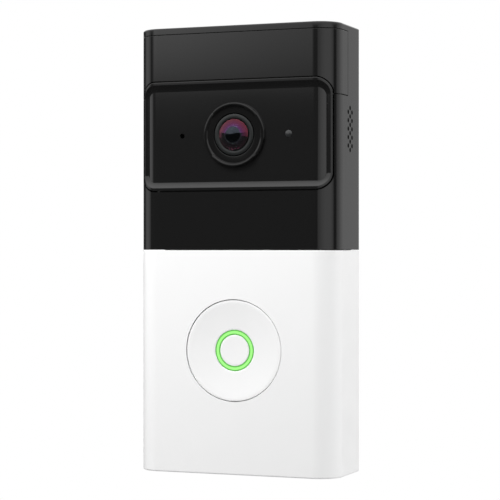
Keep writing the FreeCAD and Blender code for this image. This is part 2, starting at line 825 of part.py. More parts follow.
def filter_slide():
    """The day and night filter: a frame with two glasses that shifts sideways behind the lens."""
    middle = "(0 - filter_travel / 2)"
    near = behind("filter_depth + filter_thickness")
    body = slab("filter_frame", middle, LENS, "filter_width", "filter_height", near, "filter_thickness")
    item = sketch_on(body, "XZ_Plane", near)
    glasses = []
    for side in ("-", "+"):
        x = f"{middle} {side} filter_travel / 2"
        rectangle(item, x, LENS, "4.4", "4.8")
        glasses.append(box(x, near, LENS, "4.4", "filter_thickness", "4.8"))
    pocket(body, item, "filter_thickness", forwards=True)
    group("filter_glasses", glasses)


def camera_electronics():
    slab("image_sensor", "0", LENS, "7.5", "6.4", CAMERA_BOARD, "1")
    slab("camera_board", "0", LENS, "camera_board_size", "camera_board_size",
         f"{CAMERA_BOARD} - board_thickness", "board_thickness", "1")
    board = slab("ir_led_board", "0", LENS, "ir_board_width", "ir_board_height",
                 f"{IR_BOARD} - board_thickness", "board_thickness", "1")
    item = sketch_on(board, "XZ_Plane", IR_BOARD)
    rectangle(item, "0", LENS, "holder_width + 0.6", "holder_height + 0.6", "1.5")
    for x, z in IR_POSTS:
        circle(item, x, z, "board_screw + screw_clearance")
    pocket(board, item, "board_thickness + 1")
    lamps = []
    for side in ("0 - lamp_side", "lamp_side"):
        for rise in ("- lamp_rise", "+ lamp_rise"):
            lamps.append(box(side, IR_BOARD, f"{LENS} {rise}", "lamp_size", "lamp_height", "lamp_size"))
    group("ir_leds", lamps)
    screws = [
        cross_screw(x, z, f"{IR_BOARD} - board_thickness", TO_BACK, "board_screw", "board_screw_length",
                    "board_screw_head", "board_screw_cap")
        for x, z in IR_POSTS
    ]
    group("ir_board_screws", screws)
    connector = box("0", MAIN_BOARD, LENS, "12", f"main_board_depth - holder_back - board_thickness", "3")
    group("board_connector", [connector])


def side_eyes():
    """The microphone with its boot on the left and the light pipe with its sensor on the right."""
    dome = "(((sensor_radius - fit_gap) ^ 2 + pipe_dome ^ 2) / (2 * pipe_dome))"
    turned("light_pipe", "sensor_offset", SIDE_EYE, [
        ("0", behind("ir_board_depth - sensor_height - fit_gap")),
        ("pipe_radius", behind("ir_board_depth - sensor_height - fit_gap")),
        ("pipe_radius", behind("seat_depth + panel_thickness + pipe_flange_height")),
        ("pipe_flange", behind("seat_depth + panel_thickness + pipe_flange_height")),
        ("pipe_flange", behind("seat_depth + panel_thickness")),
        ("sensor_radius - fit_gap", behind("seat_depth + panel_thickness")),
        ("sensor_radius - fit_gap", behind("recess_depth + pipe_sink"), None, dome),
        ("0", behind("recess_depth + pipe_sink - pipe_dome")),
    ])
    slab("light_sensor", "sensor_offset", SIDE_EYE, "2", "2", IR_BOARD, "sensor_height")
    slab("microphone", "0 - mic_offset", SIDE_EYE, "3", "3.8", IR_BOARD, "mic_height")
    boot = "ir_board_depth - mic_height"
    turned("mic_boot", "0 - mic_offset", SIDE_EYE, [
        ("mic_radius", behind(boot)),
        ("boot_radius", behind(boot)),
        ("boot_radius", behind("seat_depth + panel_thickness")),
        ("mic_radius", behind("seat_depth + panel_thickness")),
    ])


# --- main board and sound ---------------------------------------------------------------------


def main_board():
    near = f"({MAIN_BOARD} - board_thickness)"
    middle = "main_board_rise + main_board_height / 2"
    board = slab("main_board", "0", middle, "main_board_width", "main_board_height", near,
                 "board_thickness", "1")
    drill(board, MAIN_POSTS, "board_screw + screw_clearance", f"{MAIN_BOARD} + 1", "board_thickness + 2")
    shields = [
        box("0", f"{near} - shield_height", f"main_board_rise + {rise}", "shield_width", "shield_height",
            "shield_length")
        for rise in SHIELD_RISES
    ]
    group("shield_cans", shields)
    screws = [
        cross_screw(x, z, MAIN_BOARD, TO_FRONT, "board_screw", "board_screw_length",
                    "board_screw_head", "board_screw_cap")
        for x, z in MAIN_POSTS
    ]
    group("main_board_screws", screws)
    group("setup_switch", [box("setup_side", f"{near} - shield_height", "setup_rise", "switch_size",
                               "shield_height", "switch_size")])
    mouth = f"{FLOOR_FRONT} - 0.3"
    socket = slab("port_socket", "0", "port_rise", "port_width", "port_height", mouth,
                  f"{near} - {mouth}", "1.4")
    item = sketch_on(socket, "XZ_Plane", mouth)
    rectangle(item, "0", "port_rise", "port_width - 0.6", "port_height - 0.6", "1.1")
    pocket(socket, item, f"{near} - {mouth} - 0.5", forwards=True)
    slab("port_tongue", "0", "port_rise", "6.6", "0.7", f"{mouth} + 0.6", f"{near} - {mouth} - 1.1")
    antenna = new_body("antenna")
    item = sketch_on(antenna, "XY_Plane", f"{INNER_TOP} - 0.35")
    rectangle(item, "2", f"0 - {behind('9')}", "30", "6")
    pad(antenna, item, "0.3")


def speaker():
    middle = f"({GRILLE_TOP} - {GRILLE_ROWS - 1} * grille_pitch / 2)"
    depth = "(grille_depth - speaker_shift)"
    back = f"({INNER_SIDE} - speaker_setback - speaker_depth)"
    body = new_body("speaker")
    item = sketch_on(body, "YZ_Plane", back)
    rectangle(item, f"{depth} - {FRONT}", middle, "speaker_width", "speaker_height", "1.2")
    pad(body, item, "speaker_depth")
    item = sketch_on(body, "YZ_Plane", f"{INNER_SIDE} - speaker_setback")
    rectangle(item, f"{depth} - {FRONT}", middle, "speaker_width - 2 * speaker_rim",
              "speaker_height - 2 * speaker_rim", "1")
    pocket(body, item, "0.5")
    seal = new_body("speaker_gasket")
    item = sketch_on(seal, "YZ_Plane", f"{INNER_SIDE} - speaker_setback")
    rectangle(item, f"{depth} - {FRONT}", middle, "speaker_width", "speaker_height", "1.2")
    rectangle(item, f"{depth} - {FRONT}", middle, "speaker_width - 2 * gasket_width",
              "speaker_height - 2 * gasket_width", "0.6")
    pad(seal, item, "gasket_thickness")
    mesh = new_body("speaker_mesh")
    item = sketch_on(mesh, "YZ_Plane", f"{INNER_SIDE} - mesh_thickness - fit_gap")
    rectangle(item, f"{depth} - {FRONT}", middle, "speaker_width", "speaker_height", "1.2")
    pad(mesh, item, "mesh_thickness")


def motion_sensor():
    board = box("0", behind("shell_wall + 1.5"), "9", "18", "0.8", "11")
    chip = box("0", behind("shell_wall + 0.7"), "9", "6", "0.6", "6")
    keep("motion_sensor", joined([board, chip]))


# --- doorbell button --------------------------------------------------------------------------


def dish_at(radius):
    """The height of the button's hollow front at a radius, from the wall."""
    return f"({BUTTON_FACE} - dish_depth + {DISH_CURVE} - sqrt({DISH_CURVE} ^ 2 - ({radius}) ^ 2))"


def button():
    """The dished cap, the ring of light in its middle, and the stem that works the switch."""
    plate_back = f"({BUTTON_FACE} - dish_depth - dish_plate)"
    flange = f"({behind('guide_depth')} - button_gap)"
    skirt_end = f"({flange} - flange_thickness)"
    turned("button_cap", "0", BUTTON, [
        ("ring_outer + fit_gap", plate_back),
        ("button_radius - button_wall", plate_back),
        ("button_radius - button_wall", skirt_end),
        ("button_radius + flange_reach", skirt_end),
        ("button_radius + flange_reach", flange),
        ("button_radius", flange),
        ("button_radius", f"{BUTTON_FACE} - dish_rim"),
        (DISH_EDGE, BUTTON_FACE, None, f"0 - {DISH_CURVE}"),
        ("ring_outer + fit_gap", dish_at("ring_outer + fit_gap")),
    ])
    web_back = f"({plate_back} - web_thickness)"
    turned("light_ring", "0", BUTTON, [
        ("0", f"{behind('button_board_depth')} + stem_height"),
        ("stem_radius", f"{behind('button_board_depth')} + stem_height"),
        ("stem_radius", web_back),
        ("ring_outer + web_reach", web_back),
        ("ring_outer + web_reach", f"{plate_back} - fit_gap"),
        ("ring_outer", f"{plate_back} - fit_gap"),
        ("ring_outer", dish_at("ring_outer")),
        ("ring_inner", dish_at("ring_inner")),
        ("ring_inner", plate_back),
        ("0", plate_back),
    ])
    turned("centre_cap", "0", BUTTON, [
        ("0", f"{plate_back} + fit_gap"),
        ("ring_inner - fit_gap", f"{plate_back} + fit_gap"),
        ("ring_inner - fit_gap", dish_at("ring_inner - fit_gap"), None, f"0 - {DISH_CURVE}"),
        ("0", f"{BUTTON_FACE} - dish_depth"),
    ])
    turned("switch_plunger", "0", BUTTON, [
        ("0", f"{behind('button_board_depth')} + plunger_low"),
        ("stem_radius", f"{behind('button_board_depth')} + plunger_low"),
        ("stem_radius", f"{behind('button_board_depth')} + stem_height - fit_gap"),
        ("0", f"{behind('button_board_depth')} + stem_height - fit_gap"),
    ])
    pad_top = f"({skirt_end} - fit_gap)"
    turned("return_pad", "0", BUTTON, [
        ("button_radius - button_wall", f"{BUTTON_BOARD} + fit_gap"),
        ("button_radius + 0.4", f"{BUTTON_BOARD} + fit_gap"),
        ("button_radius + 0.4", pad_top),
        ("button_radius - button_wall", pad_top),
    ])


def button_electronics():
    board = slab("button_board", "0", BUTTON, "button_board_width", "button_board_height",
                 f"{BUTTON_BOARD} - board_thickness", "board_thickness", "1")
    drill(board, BUTTON_POSTS, "board_screw + screw_clearance", f"{BUTTON_BOARD} + 1", "board_thickness + 2")
    screws = [
        cross_screw(x, z, f"{BUTTON_BOARD} - board_thickness", TO_BACK, "board_screw", "board_screw_length",
                    "board_screw_head", "board_screw_cap")
        for x, z in BUTTON_POSTS
    ]
    group("button_board_screws", screws)
    switch = slab("tact_switch", "0", BUTTON, "tact_size", "tact_size", BUTTON_BOARD, "tact_height", "0.4")
    item = sketch_on(switch, "XZ_Plane", f"{BUTTON_BOARD} + tact_height")
    circle(item, "0", BUTTON, "1.6")
    pocket(switch, item, "1.1")
    lamps = []
    for turn in range(RING_LIGHTS):
        angle = 360 * turn / RING_LIGHTS
        reach = "(ring_outer + ring_inner) / 2"
        lamps.append(box(f"{reach} * cos({angle})", BUTTON_BOARD, f"{BUTTON} + {reach} * sin({angle})",
                         "1.2", "0.6", "1.2"))
    group("ring_leds", lamps)


# --- battery ----------------------------------------------------------------------------------

BATTERY_MIDDLE = "(0 - battery_drop - battery_height / 2)"


def battery():
    slab("battery", "0", BATTERY_MIDDLE, "battery_width", "battery_height",
         behind("battery_depth + battery_thickness"), "battery_thickness", "2.5")
    front = behind("battery_depth")
    cradle = slab("battery_cradle", "0", BATTERY_MIDDLE, "2 * (boss_side - boss_radius - fit_gap)",
                  "battery_height + 3", front, "cradle_thickness", "2")
    item = sketch_on(cradle, "XZ_Plane", front)
    for side in ("0 - 11", "11"):
        for rise in ("- 12", "+ 12"):
            rectangle(item, side, f"{BATTERY_MIDDLE} {rise}", "17", "18", "2")
    pocket(cradle, item, "cradle_thickness + 1", forwards=True)
    drill(cradle, BUTTON_POSTS, "board_screw_head + 0.3",
          behind("battery_depth - cradle_thickness - 1"), "3")
    rails = sketch_on(cradle, "XZ_Plane", f"{front} - 3")
    for side in ("", "0 - "):
        x = f"{side}(battery_width / 2 + loose_gap + rail_width / 2)"
        rectangle(rails, x, BATTERY_MIDDLE, "rail_width", "battery_height")
    pad(cradle, rails, "3 + cradle_thickness / 2")
    slab("battery_pad", "0", BATTERY_MIDDLE, "26", "40", f"{FLOOR_FRONT} + fit_gap",
         f"{behind('battery_depth + battery_thickness')} - {FLOOR_FRONT} - 2 * fit_gap")


# --- rear housing -----------------------------------------------------------------------------

FLOOR_WIDTH = f"(2 * ({INNER_SIDE} - floor_gap))"
FLOOR_HEIGHT = f"(2 * ({INNER_TOP} - floor_gap))"
LAYER = "(floor_thickness - seal_width) / 2"
HOOKS = both_sides("hook_side", "hook_rise", "0 - hook_drop")
SLOT_TOP = "(0.1)"
SLOT_BOTTOM = "(hook_stem + lift_travel + 0.4)"
POCKET_TOP = "(hook_lip + hook_play)"
POCKET_WIDTH = "(hook_width + hook_play)"


def hook_rectangles(item, top, bottom, width):
    """A rectangle round each hook, from above the top of its stem to below it."""
    for x, z in HOOKS:
        rectangle(item, x, f"{z} + (({top}) - ({bottom})) / 2", width, f"({top}) + ({bottom})")


def rear_housing():
    body = new_body("rear_housing")
    for shift, inset, thickness in (
        ("0", "0", LAYER),
        (LAYER, "2 * seal_depth", "seal_width"),
        (f"{LAYER} + seal_width", "0", LAYER),
    ):
        item = sketch_on(body, "XZ_Plane", f"{FLOOR_BACK} + {shift}")
        rectangle(item, "0", "0", f"{FLOOR_WIDTH} - {inset}", f"{FLOOR_HEIGHT} - {inset}", "rear_corner")
        pad(body, item, thickness)
    item = sketch_on(body, "XZ_Plane", f"{FLOOR_FRONT} - 0.2")
    hook_rectangles(item, f"{POCKET_TOP} + pocket_wall", f"{SLOT_BOTTOM} + pocket_wall",
                    f"{POCKET_WIDTH} + 2 * pocket_wall")
    pad(body, item, f"{FLOOR_BACK} + pocket_depth + pocket_wall - {FLOOR_FRONT} + 0.2")
    terminals = both_sides("terminal_side", "0 - terminal_drop")
    posts(body, terminals, "terminal_thread + 2.2", f"{FLOOR_FRONT} - 0.2", "3.2")
    posts(body, MAIN_POSTS, "post_radius", f"{FLOOR_FRONT} - 0.2",
          f"{MAIN_BOARD} - board_thickness - {FLOOR_FRONT} + 0.2")
    room = sketch_on(body, "XZ_Plane", f"{FLOOR_BACK} + pocket_depth")
    hook_rectangles(room, POCKET_TOP, SLOT_BOTTOM, POCKET_WIDTH)
    pocket(body, room, "pocket_depth - ledge_thickness")
    slot = sketch_on(body, "XZ_Plane", f"{FLOOR_BACK} + ledge_thickness + 0.1")
    hook_rectangles(slot, SLOT_TOP, SLOT_BOTTOM, POCKET_WIDTH)
    pocket(body, slot, "ledge_thickness + 1")
    holes = UPPER_BOSSES + LOWER_BOSSES
    drill(body, holes, "screw_radius + screw_clearance", f"{FLOOR_FRONT} + 1", "floor_thickness + 2")
    drill(body, holes, "screw_head + 0.2", f"{FLOOR_BACK} + screw_sink", "screw_sink + 1")
    drill(body, terminals, "terminal_thread + insert_wall + fit_gap", f"{FLOOR_FRONT} + 4",
          "floor_thickness + 5")
    drill(body, MAIN_POSTS, "pilot_radius", f"{MAIN_BOARD} + 1", "board_screw_length + 1")
    drill(body, [("setup_side", "setup_rise")], "setup_radius + fit_gap", f"{FLOOR_FRONT} + 1",
          "floor_thickness + 2")
    mouth = sketch_on(body, "XZ_Plane", f"{FLOOR_FRONT} + 1")
    rectangle(mouth, "0", "port_rise", "port_width + 1.2", "port_height + 1.2", "1.6")
    pocket(body, mouth, "floor_thickness + 2")
    seat = sketch_on(body, "XZ_Plane", f"{FLOOR_BACK} + cover_thickness + fit_gap")
    rectangle(seat, "0", "port_rise - 0.6", "cover_width + 0.5", "cover_height + 1.8", "1.2")
    pocket(body, seat, "cover_thickness + 1")
    notch = sketch_on(body, "XZ_Plane", f"{FLOOR_BACK} + 1.7")
    rectangle(notch, "0", "0 - latch_slot_top - 3.8", "latch_width + 0.8", "3.6")
    pocket(body, notch, "3")


def rear_fittings():
    seal = new_body("housing_seal")
    item = sketch_on(seal, "XZ_Plane", f"{FLOOR_BACK} + {LAYER} + fit_gap")
    grown = "2 * (floor_gap - fit_gap)"
    rectangle(item, "0", "0", f"{FLOOR_WIDTH} + {grown}", f"{FLOOR_HEIGHT} + {grown}", "rear_corner")
    cut = "2 * (seal_depth - fit_gap)"
    rectangle(item, "0", "0", f"{FLOOR_WIDTH} - {cut}", f"{FLOOR_HEIGHT} - {cut}", "rear_corner")
    pad(seal, item, "seal_width - 2 * fit_gap")
    screws = [
        cross_screw(x, z, f"{FLOOR_BACK} + screw_sink", TO_BACK, "screw_radius", "screw_length",
                    "screw_head", "screw_sink - 0.1")
        for x, z in UPPER_BOSSES + LOWER_BOSSES
    ]
    group("housing_screws", screws)
    for name, side in (
        ("terminal_screw_left", "0 - terminal_side"), ("terminal_screw_right", "terminal_side"),
    ):
        screw = cross_screw(side, "0 - terminal_drop", f"{FLOOR_BACK} - terminal_plate - fit_gap", TO_BACK,
                            "terminal_thread", "5", "terminal_head", "terminal_cap")
        keep(name, screw)
    inserts, plates = [], []
    for side in ("0 - terminal_side", "terminal_side"):
        spot = (side, f"0 - {FLOOR_FRONT} - insert_reach", "0 - terminal_drop", TO_BACK)
        inserts.append(less(
            cylinder(*spot, "terminal_thread + insert_wall", "floor_thickness + insert_reach"),
            cylinder(*spot, "terminal_thread + fit_gap", "floor_thickness + insert_reach"),
        ))
        near = f"{FLOOR_BACK} - terminal_plate"
        back = (side, f"0 - {FLOOR_BACK}", "0 - terminal_drop", TO_BACK)
        plates.append(less(
            box(side, near, "0 - terminal_drop", "terminal_size", "terminal_plate", "terminal_size"),
            cylinder(*back, "terminal_thread + fit_gap", "terminal_plate"),
        ))
    group("terminal_inserts", inserts)
    group("terminal_plates", plates)


def setup_button():
    flange = f"({MAIN_BOARD} - board_thickness - shield_height - setup_travel - fit_gap)"
    turned("setup_button", "setup_side", "setup_rise", [
        ("0", f"{FLOOR_BACK} + 0.2"),
        ("setup_radius - 0.2", f"{FLOOR_BACK} + 0.2"),
        ("setup_radius", f"{FLOOR_BACK} + 0.4"),
        ("setup_radius", f"{FLOOR_FRONT} + fit_gap"),
        ("setup_radius + 0.7", f"{FLOOR_FRONT} + fit_gap"),
        ("setup_radius + 0.7", flange),
        ("0", flange),
    ])


def port_cover():
    """The rubber flap: its lip fills the opening and its lower edge is the hinge."""
    body = slab("port_cover", "0", "port_rise + 0.1", "cover_width", "cover_height", FLOOR_BACK,
                "cover_thickness", "1")
    low = number("port_rise + 0.1 - cover_height / 2")
    inner = number(f"0 - {FLOOR_BACK} - cover_thickness")
    round_edges(body, "cover_thickness - 0.1", lambda box: (
        abs(box.ZMax - low) < 1e-6 and abs(box.YMax - inner) < 1e-6 and box.YLength < 1e-6
    ))
    item = sketch_on(body, "XZ_Plane", f"{FLOOR_BACK} + cover_thickness - 0.1")
    rectangle(item, "0", "port_rise", "port_width + 0.3", "port_height + 0.2", "1")
    pad(body, item, "cover_lip + 0.1")


# --- wall plate -------------------------------------------------------------------------------


def wall_plate():
    height, middle = "(plate_top + plate_bottom)", "(plate_top - plate_bottom) / 2"
    body = slab("wall_plate", "0", middle, "plate_width", height, "0", "plate_thickness", "plate_corner")
    hooks = sketch_on(body, "XZ_Plane", "plate_thickness - 0.2")
    hook_rectangles(hooks, "0", "hook_stem", "hook_width")
    lip_back = f"({FLOOR_BACK} + ledge_thickness + 0.3)"
    pad(body, hooks, f"{lip_back} + hook_lip_thickness - plate_thickness + 0.2")
    lips = sketch_on(body, "XZ_Plane", lip_back)
    hook_rectangles(lips, "hook_lip", "hook_stem", "hook_width")
    pad(body, lips, "hook_lip_thickness")
    window = sketch_on(body, "XZ_Plane", f"plate_thickness + {OVERSHOOT}")
    for end in ("window_top", "0 - window_bottom"):
        near = "bar_height / 2" if end == "window_top" else "0 - bar_height / 2"
        height = f"abs({end}) - bar_height / 2"
        rectangle(window, "0", f"({end} + {near}) / 2", "window_width", height, "3")
    rectangle(window, "0", "0 - latch_slot_top - 10", "latch_slot_width", "20")
    pocket(body, window, "plate_thickness + 2")
    bar = sketch_on(body, "XZ_Plane", f"plate_thickness + {OVERSHOOT}")
    rectangle(bar, "0", "0", "window_width", "bar_height + 6")
    pocket(body, bar, f"plate_thickness - bar_thickness + {OVERSHOOT}")
    screws = [("0", "wall_hole_rise"), ("0", "0 - wall_hole_drop")]
    drill(body, screws, "wall_hole", f"plate_thickness + {OVERSHOOT}", "plate_thickness + 2")
    drill(body, screws, "wall_hole_head", f"plate_thickness + {OVERSHOOT}", "2.4")
    drill(body, LATCH_RIVETS, "rivet_hole", f"plate_thickness + {OVERSHOOT}", "plate_thickness + 2")


LATCH_RIVETS = both_sides("rivet_side", "0 - latch_slot_top + rivet_rise")


def latch():
    """A strip of spring steel on the plate; its tooth stands in the notch of the rear housing."""
    body = new_body("latch_spring")
    item = sketch_on(body, "YZ_Plane")
    back, front = "plate_thickness + 0.02", "plate_thickness + latch_thickness"
    tooth = f"({FLOOR_BACK} + 1.2)"
    top, low = "0 - latch_slot_top", "0 - plate_bottom"
    outline(item, [(f"0 - ({reach})", z) for reach, z in (
        (back, f"{top} + 7.2"), (back, f"{top} - 7"), ("1.2", f"{low} + 0.3"), ("1.7", f"{low} + 0.2"),
        (front, f"{top} - 7.1"), (front, f"{top} - 5.3"), (tooth, f"{top} - 5.1"), (tooth, f"{top} - 4.5"),
        (front, f"{top} - 2.3"), (front, f"{top} + 7.2"),
    )])
    strip = feature_of("Pad", body, item, Length="latch_width")
    strip.Midplane = True
    drill(body, LATCH_RIVETS, "rivet_hole", "plate_thickness + 2", "4")
    rivets = []
    for x, z in LATCH_RIVETS:
        seat = f"0 - ({front}) - 0.02"
        shank = cylinder(x, seat, z, TO_BACK, "rivet_hole - fit_gap",
                         "plate_thickness + latch_thickness - 0.3")
        head = cylinder(x, seat, z, TO_FRONT, "rivet_head", "rivet_cap")
        rivets.append(joined([shank, head]))
    group("latch_rivets", rivets)


def build():
    for make in (
        upper_housing, lower_cover, front_cap, camera_bezel, camera_panel, panel_seal,
        lens_hood, lens_barrel, front_lens, inner_lens, lens_holder, filter_slide,
        camera_electronics, side_eyes, main_board, speaker, motion_sensor,
        button, button_electronics, battery, rear_housing, rear_fittings,
        setup_button, port_cover, wall_plate, latch,
    ):
        make()
    doc.recompute()


def check():
    """Stop on any object that failed, any piece that is not sound and any cut that cuts nothing."""
    for item in doc.Objects:
        if "Invalid" in item.State or "Error" in item.State:
            raise RuntimeError(f"{item.Label} failed: {item.State}")
        if item.TypeId in ("PartDesign::Pocket", "PartDesign::Groove"):
            before = item.BaseFeature.Shape.Volume
            if before - item.Shape.Volume < 1e-4:
                raise RuntimeError(f"{item.Label} cuts nothing")
    for name, item in pieces.items():
        if item.Shape.isNull() or not item.Shape.isValid() or not item.Shape.Solids:
            raise RuntimeError(f"{name} has no sound shape")


build()
check()
os.makedirs("parts", exist_ok=True)
for name, item in pieces.items():
    item.Shape.exportStep(f"parts/{name}.step")
print(f"{len(pieces)} pieces written")
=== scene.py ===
"""The looks of a battery video doorbell on its wall plate.

The upper half is black moulded plastic with a recessed camera panel; the lower half is white with a
dished button round a ring of green light. Sizes are in millimetres and turned to metres where a mesh
is made.
"""

import logging
import math
from dataclasses import dataclass, field
from enum import Enum
from typing import Callable, Sequence

import bmesh
import bpy
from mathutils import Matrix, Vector


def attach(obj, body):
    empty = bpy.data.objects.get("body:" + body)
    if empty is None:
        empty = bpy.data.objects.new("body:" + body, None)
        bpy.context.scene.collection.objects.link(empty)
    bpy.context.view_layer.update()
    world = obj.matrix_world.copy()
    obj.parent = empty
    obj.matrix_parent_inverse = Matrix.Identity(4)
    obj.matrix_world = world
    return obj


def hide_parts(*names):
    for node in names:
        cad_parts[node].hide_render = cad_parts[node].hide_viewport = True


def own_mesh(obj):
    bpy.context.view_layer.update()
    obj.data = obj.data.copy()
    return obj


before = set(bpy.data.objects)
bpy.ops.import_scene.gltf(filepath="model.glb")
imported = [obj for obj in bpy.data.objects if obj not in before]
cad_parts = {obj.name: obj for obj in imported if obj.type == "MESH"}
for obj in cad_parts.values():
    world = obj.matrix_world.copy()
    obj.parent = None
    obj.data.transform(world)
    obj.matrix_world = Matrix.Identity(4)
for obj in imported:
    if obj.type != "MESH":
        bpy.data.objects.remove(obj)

MM = 0.001
MICRON = 1e-6
# Points this close, in metres, become one, and edges shorter than the second are dropped.
WELD = 2e-7
SLIVER = 1e-7
# The patches that change a surface's tone and gloss are this many times wider than its grain.
PATCH = 24
WHITE = (1, 1, 1, 1)
LOG = logging.getLogger("doorbell")
Point = tuple[float, float]
Corner = tuple[float, float, float]
Mark = tuple[float, str]
Piece = bpy.types.Object
Tree = bpy.types.NodeTree
Socket = bpy.types.NodeSocket


# --- meshes -----------------------------------------------------------------------------------


def linear(code: str) -> Corner:
    """Turn an sRGB hex colour to linear light.

    Args:
        code: Six hex digits, such as "1a1a1c".

    Returns:
        Red, green and blue from 0 to 1.
    """
    shares = [int(code[place:place + 2], 16) / 255 for place in (0, 2, 4)]
    return tuple(share / 12.92 if share <= 0.04045 else ((share + 0.055) / 1.055) ** 2.4 for share in shares)


def solid(name: str, rings: Sequence[Sequence[Corner]], closed: bool = False) -> Piece:
    """Skin a row of rings that have as many points each.

    Args:
        name: The piece's name.
        rings: Points in millimetres, ring by ring.
        closed: True joins the last ring to the first; False caps both ends.

    Returns:
        The new object, with its place in its mesh and its faces outwards.
    """
    build = bmesh.new()
    rows = [[build.verts.new([value * MM for value in point]) for point in ring] for ring in rings]
    pairs = list(zip(rows, rows[1:] + rows[:1])) if closed else list(zip(rows, rows[1:]))
    for low, high in pairs:
        for here in range(len(low)):
            there = (here + 1) % len(low)
            build.faces.new((low[here], low[there], high[there], high[here]))
    if not closed:
        build.faces.new(rows[0])
        build.faces.new(rows[-1])
    bmesh.ops.remove_doubles(build, verts=build.verts, dist=WELD)
    bmesh.ops.dissolve_degenerate(build, dist=SLIVER, edges=build.edges)
    bmesh.ops.recalc_face_normals(build, faces=build.faces)
    mesh = bpy.data.meshes.new(name)
    build.to_mesh(mesh)
    build.free()
    piece = bpy.data.objects.new(name, mesh)
    bpy.context.scene.collection.objects.link(piece)
    return piece


def turned(
    name: str, profile: Sequence[Point], x: float, z: float, steps: int = 96,
    lift: Callable[[float, float, float], float] | None = None,
) -> Piece:
    """Turn a closed profile round an axis that runs front to back.

    Args:
        name: The piece's name.
        profile: Points of radius and y; the last one joins the first.
        x: The axis's place across the case.
        z: The axis's height.
        steps: How many flats the full turn has.
        lift: An optional change of y from a point's x offset, z offset and y.

    Returns:
        The new object.
    """
    rings = []
    for step in range(steps):
        turn = 2 * math.pi * step / steps
        ring = []
        for radius, y in profile:
            side, rise = radius * math.cos(turn), radius * math.sin(turn)
            ring.append((x + side, y + (lift(side, rise, y) if lift else 0.0), z + rise))
        rings.append(ring)
    return solid(name, rings, closed=True)


def arc(centre: Point, radius: float, start: float, end: float, steps: int) -> list[Point]:
    """Points along an arc, both ends included, with angles in degrees."""
    turns = [math.radians(start + (end - start) * step / steps) for step in range(steps + 1)]
    return [(centre[0] + radius * math.cos(turn), centre[1] + radius * math.sin(turn)) for turn in turns]


def rounded_rectangle(half_x: float, half_z: float, radius: float, steps: int = 12) -> list[Point]:
    """A rounded rectangle about the origin, anticlockwise from the lower right corner."""
    points: list[Point] = []
    for place, (side, rise) in enumerate(((1, -1), (1, 1), (-1, 1), (-1, -1))):
        centre = (side * (half_x - radius), rise * (half_z - radius))
        points += arc(centre, radius, 90 * place - 90, 90 * place, steps)
    return points


def baked(piece: Piece) -> Piece:
    """Turn the piece's modifiers into its mesh and take them off."""
    graph = bpy.context.evaluated_depsgraph_get()
    graph.update()
    mesh = bpy.data.meshes.new_from_object(piece.evaluated_get(graph), depsgraph=graph)
    mesh.name = piece.name
    piece.modifiers.clear()
    piece.data = mesh
    return piece


def combined(piece: Piece, tool: Piece, operation: str) -> Piece:
    """Change the piece by a tool, with INTERSECT, UNION or DIFFERENCE, and delete the tool."""
    modifier = piece.modifiers.new("combined", "BOOLEAN")
    modifier.operation = operation
    modifier.solver = "EXACT"
    modifier.object = tool
    baked(piece)
    bpy.data.objects.remove(tool)
    return piece


def cut(piece: Piece, *tools: Piece) -> Piece:
    """Cut each tool out of the piece and delete the tool."""
    for tool in tools:
        combined(piece, tool, "DIFFERENCE")
    return piece


def shaded(piece: Piece, sharp: float = 32.0) -> Piece:
    """Shade the piece smoothly, its sharp edges kept and its flats staying flat.

    Args:
        piece: The object to finish.
        sharp: Edges that turn more than this many degrees are sharp.
    """
    piece.data.shade_smooth()
    piece.data.set_sharp_from_angle(angle=math.radians(sharp))
    weigh = piece.modifiers.new("normals", "WEIGHTED_NORMAL")
    weigh.keep_sharp = True
    return baked(piece)


def cylinder(name: str, x: float, z: float, radius: float, near: float, far: float, steps: int = 64) -> Piece:
    """A round bar along Y between two values of y."""
    return turned(name, [(0, near), (radius, near), (radius, far), (0, far)], x, z, steps)


def prism(name: str, shape: Sequence[Point], z: float, near: float, far: float) -> Piece:
    """A bar along Y whose section is a closed shape of x and z, raised by z."""
    return solid(name, [[(x, y, z + rise) for x, rise in shape] for y in (near, far)])


def dressed(piece: Piece, stock: "Stock", body: str, *nodes: str) -> Piece:
    """Give a piece its material, its body and the nodes that it stands for."""
    piece.data.materials.clear()
    piece.data.materials.append(stock.material())
    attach(piece, body)
    if nodes:
        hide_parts(*nodes)
    LOG.info("%s on %s, %d faces", piece.name, body, len(piece.data.polygons))
    return piece


# --- finishes ---------------------------------------------------------------------------------


def add(tree: Tree, kind: str, settings: dict | None = None, links: dict | None = None) -> bpy.types.Node:
    """Add a node to a tree.

    Args:
        tree: The tree that gets the node.
        kind: The node's type name.
        settings: Values by attribute name, or by input name or number.
        links: Output sockets by the name or number of the input that each feeds.

    Returns:
        The new node.
    """
    node = tree.nodes.new(kind)
    for key, value in (settings or {}).items():
        if isinstance(key, str) and hasattr(node, key):
            setattr(node, key, value)
        else:
            node.inputs[key].default_value = value
    for key, socket in (links or {}).items():
        tree.links.new(socket, node.inputs[key])
    return node


def maths(tree: Tree, operation: str, *values: Socket | float) -> Socket:
    """The result of a sum whose terms are sockets or plain numbers."""
    node = add(tree, "ShaderNodeMath", {"operation": operation})
    for place, value in enumerate(values):
        if isinstance(value, float):
            node.inputs[place].default_value = value
        else:
            tree.links.new(value, node.inputs[place])
    return node.outputs[0]


def grain(size: float) -> float:
    """The noise scale whose blobs are about this many millimetres across."""
    return 1 / (size * MM)


def colour_ramp(tree: Tree, share: Socket, stops: Sequence[tuple[float, Corner]]) -> Socket:
    """A colour that changes with a share, by stops of a position from 0 to 1 and its linear colour."""
    node = add(tree, "ShaderNodeValToRGB", links={"Fac": share})
    marks = node.color_ramp.elements
    while len(marks) < len(stops):
        marks.new(0.5)
    for mark, (position, colour) in zip(marks, stops):
        mark.position = position
        mark.color = (*colour, 1)
    return node.outputs["Color"]


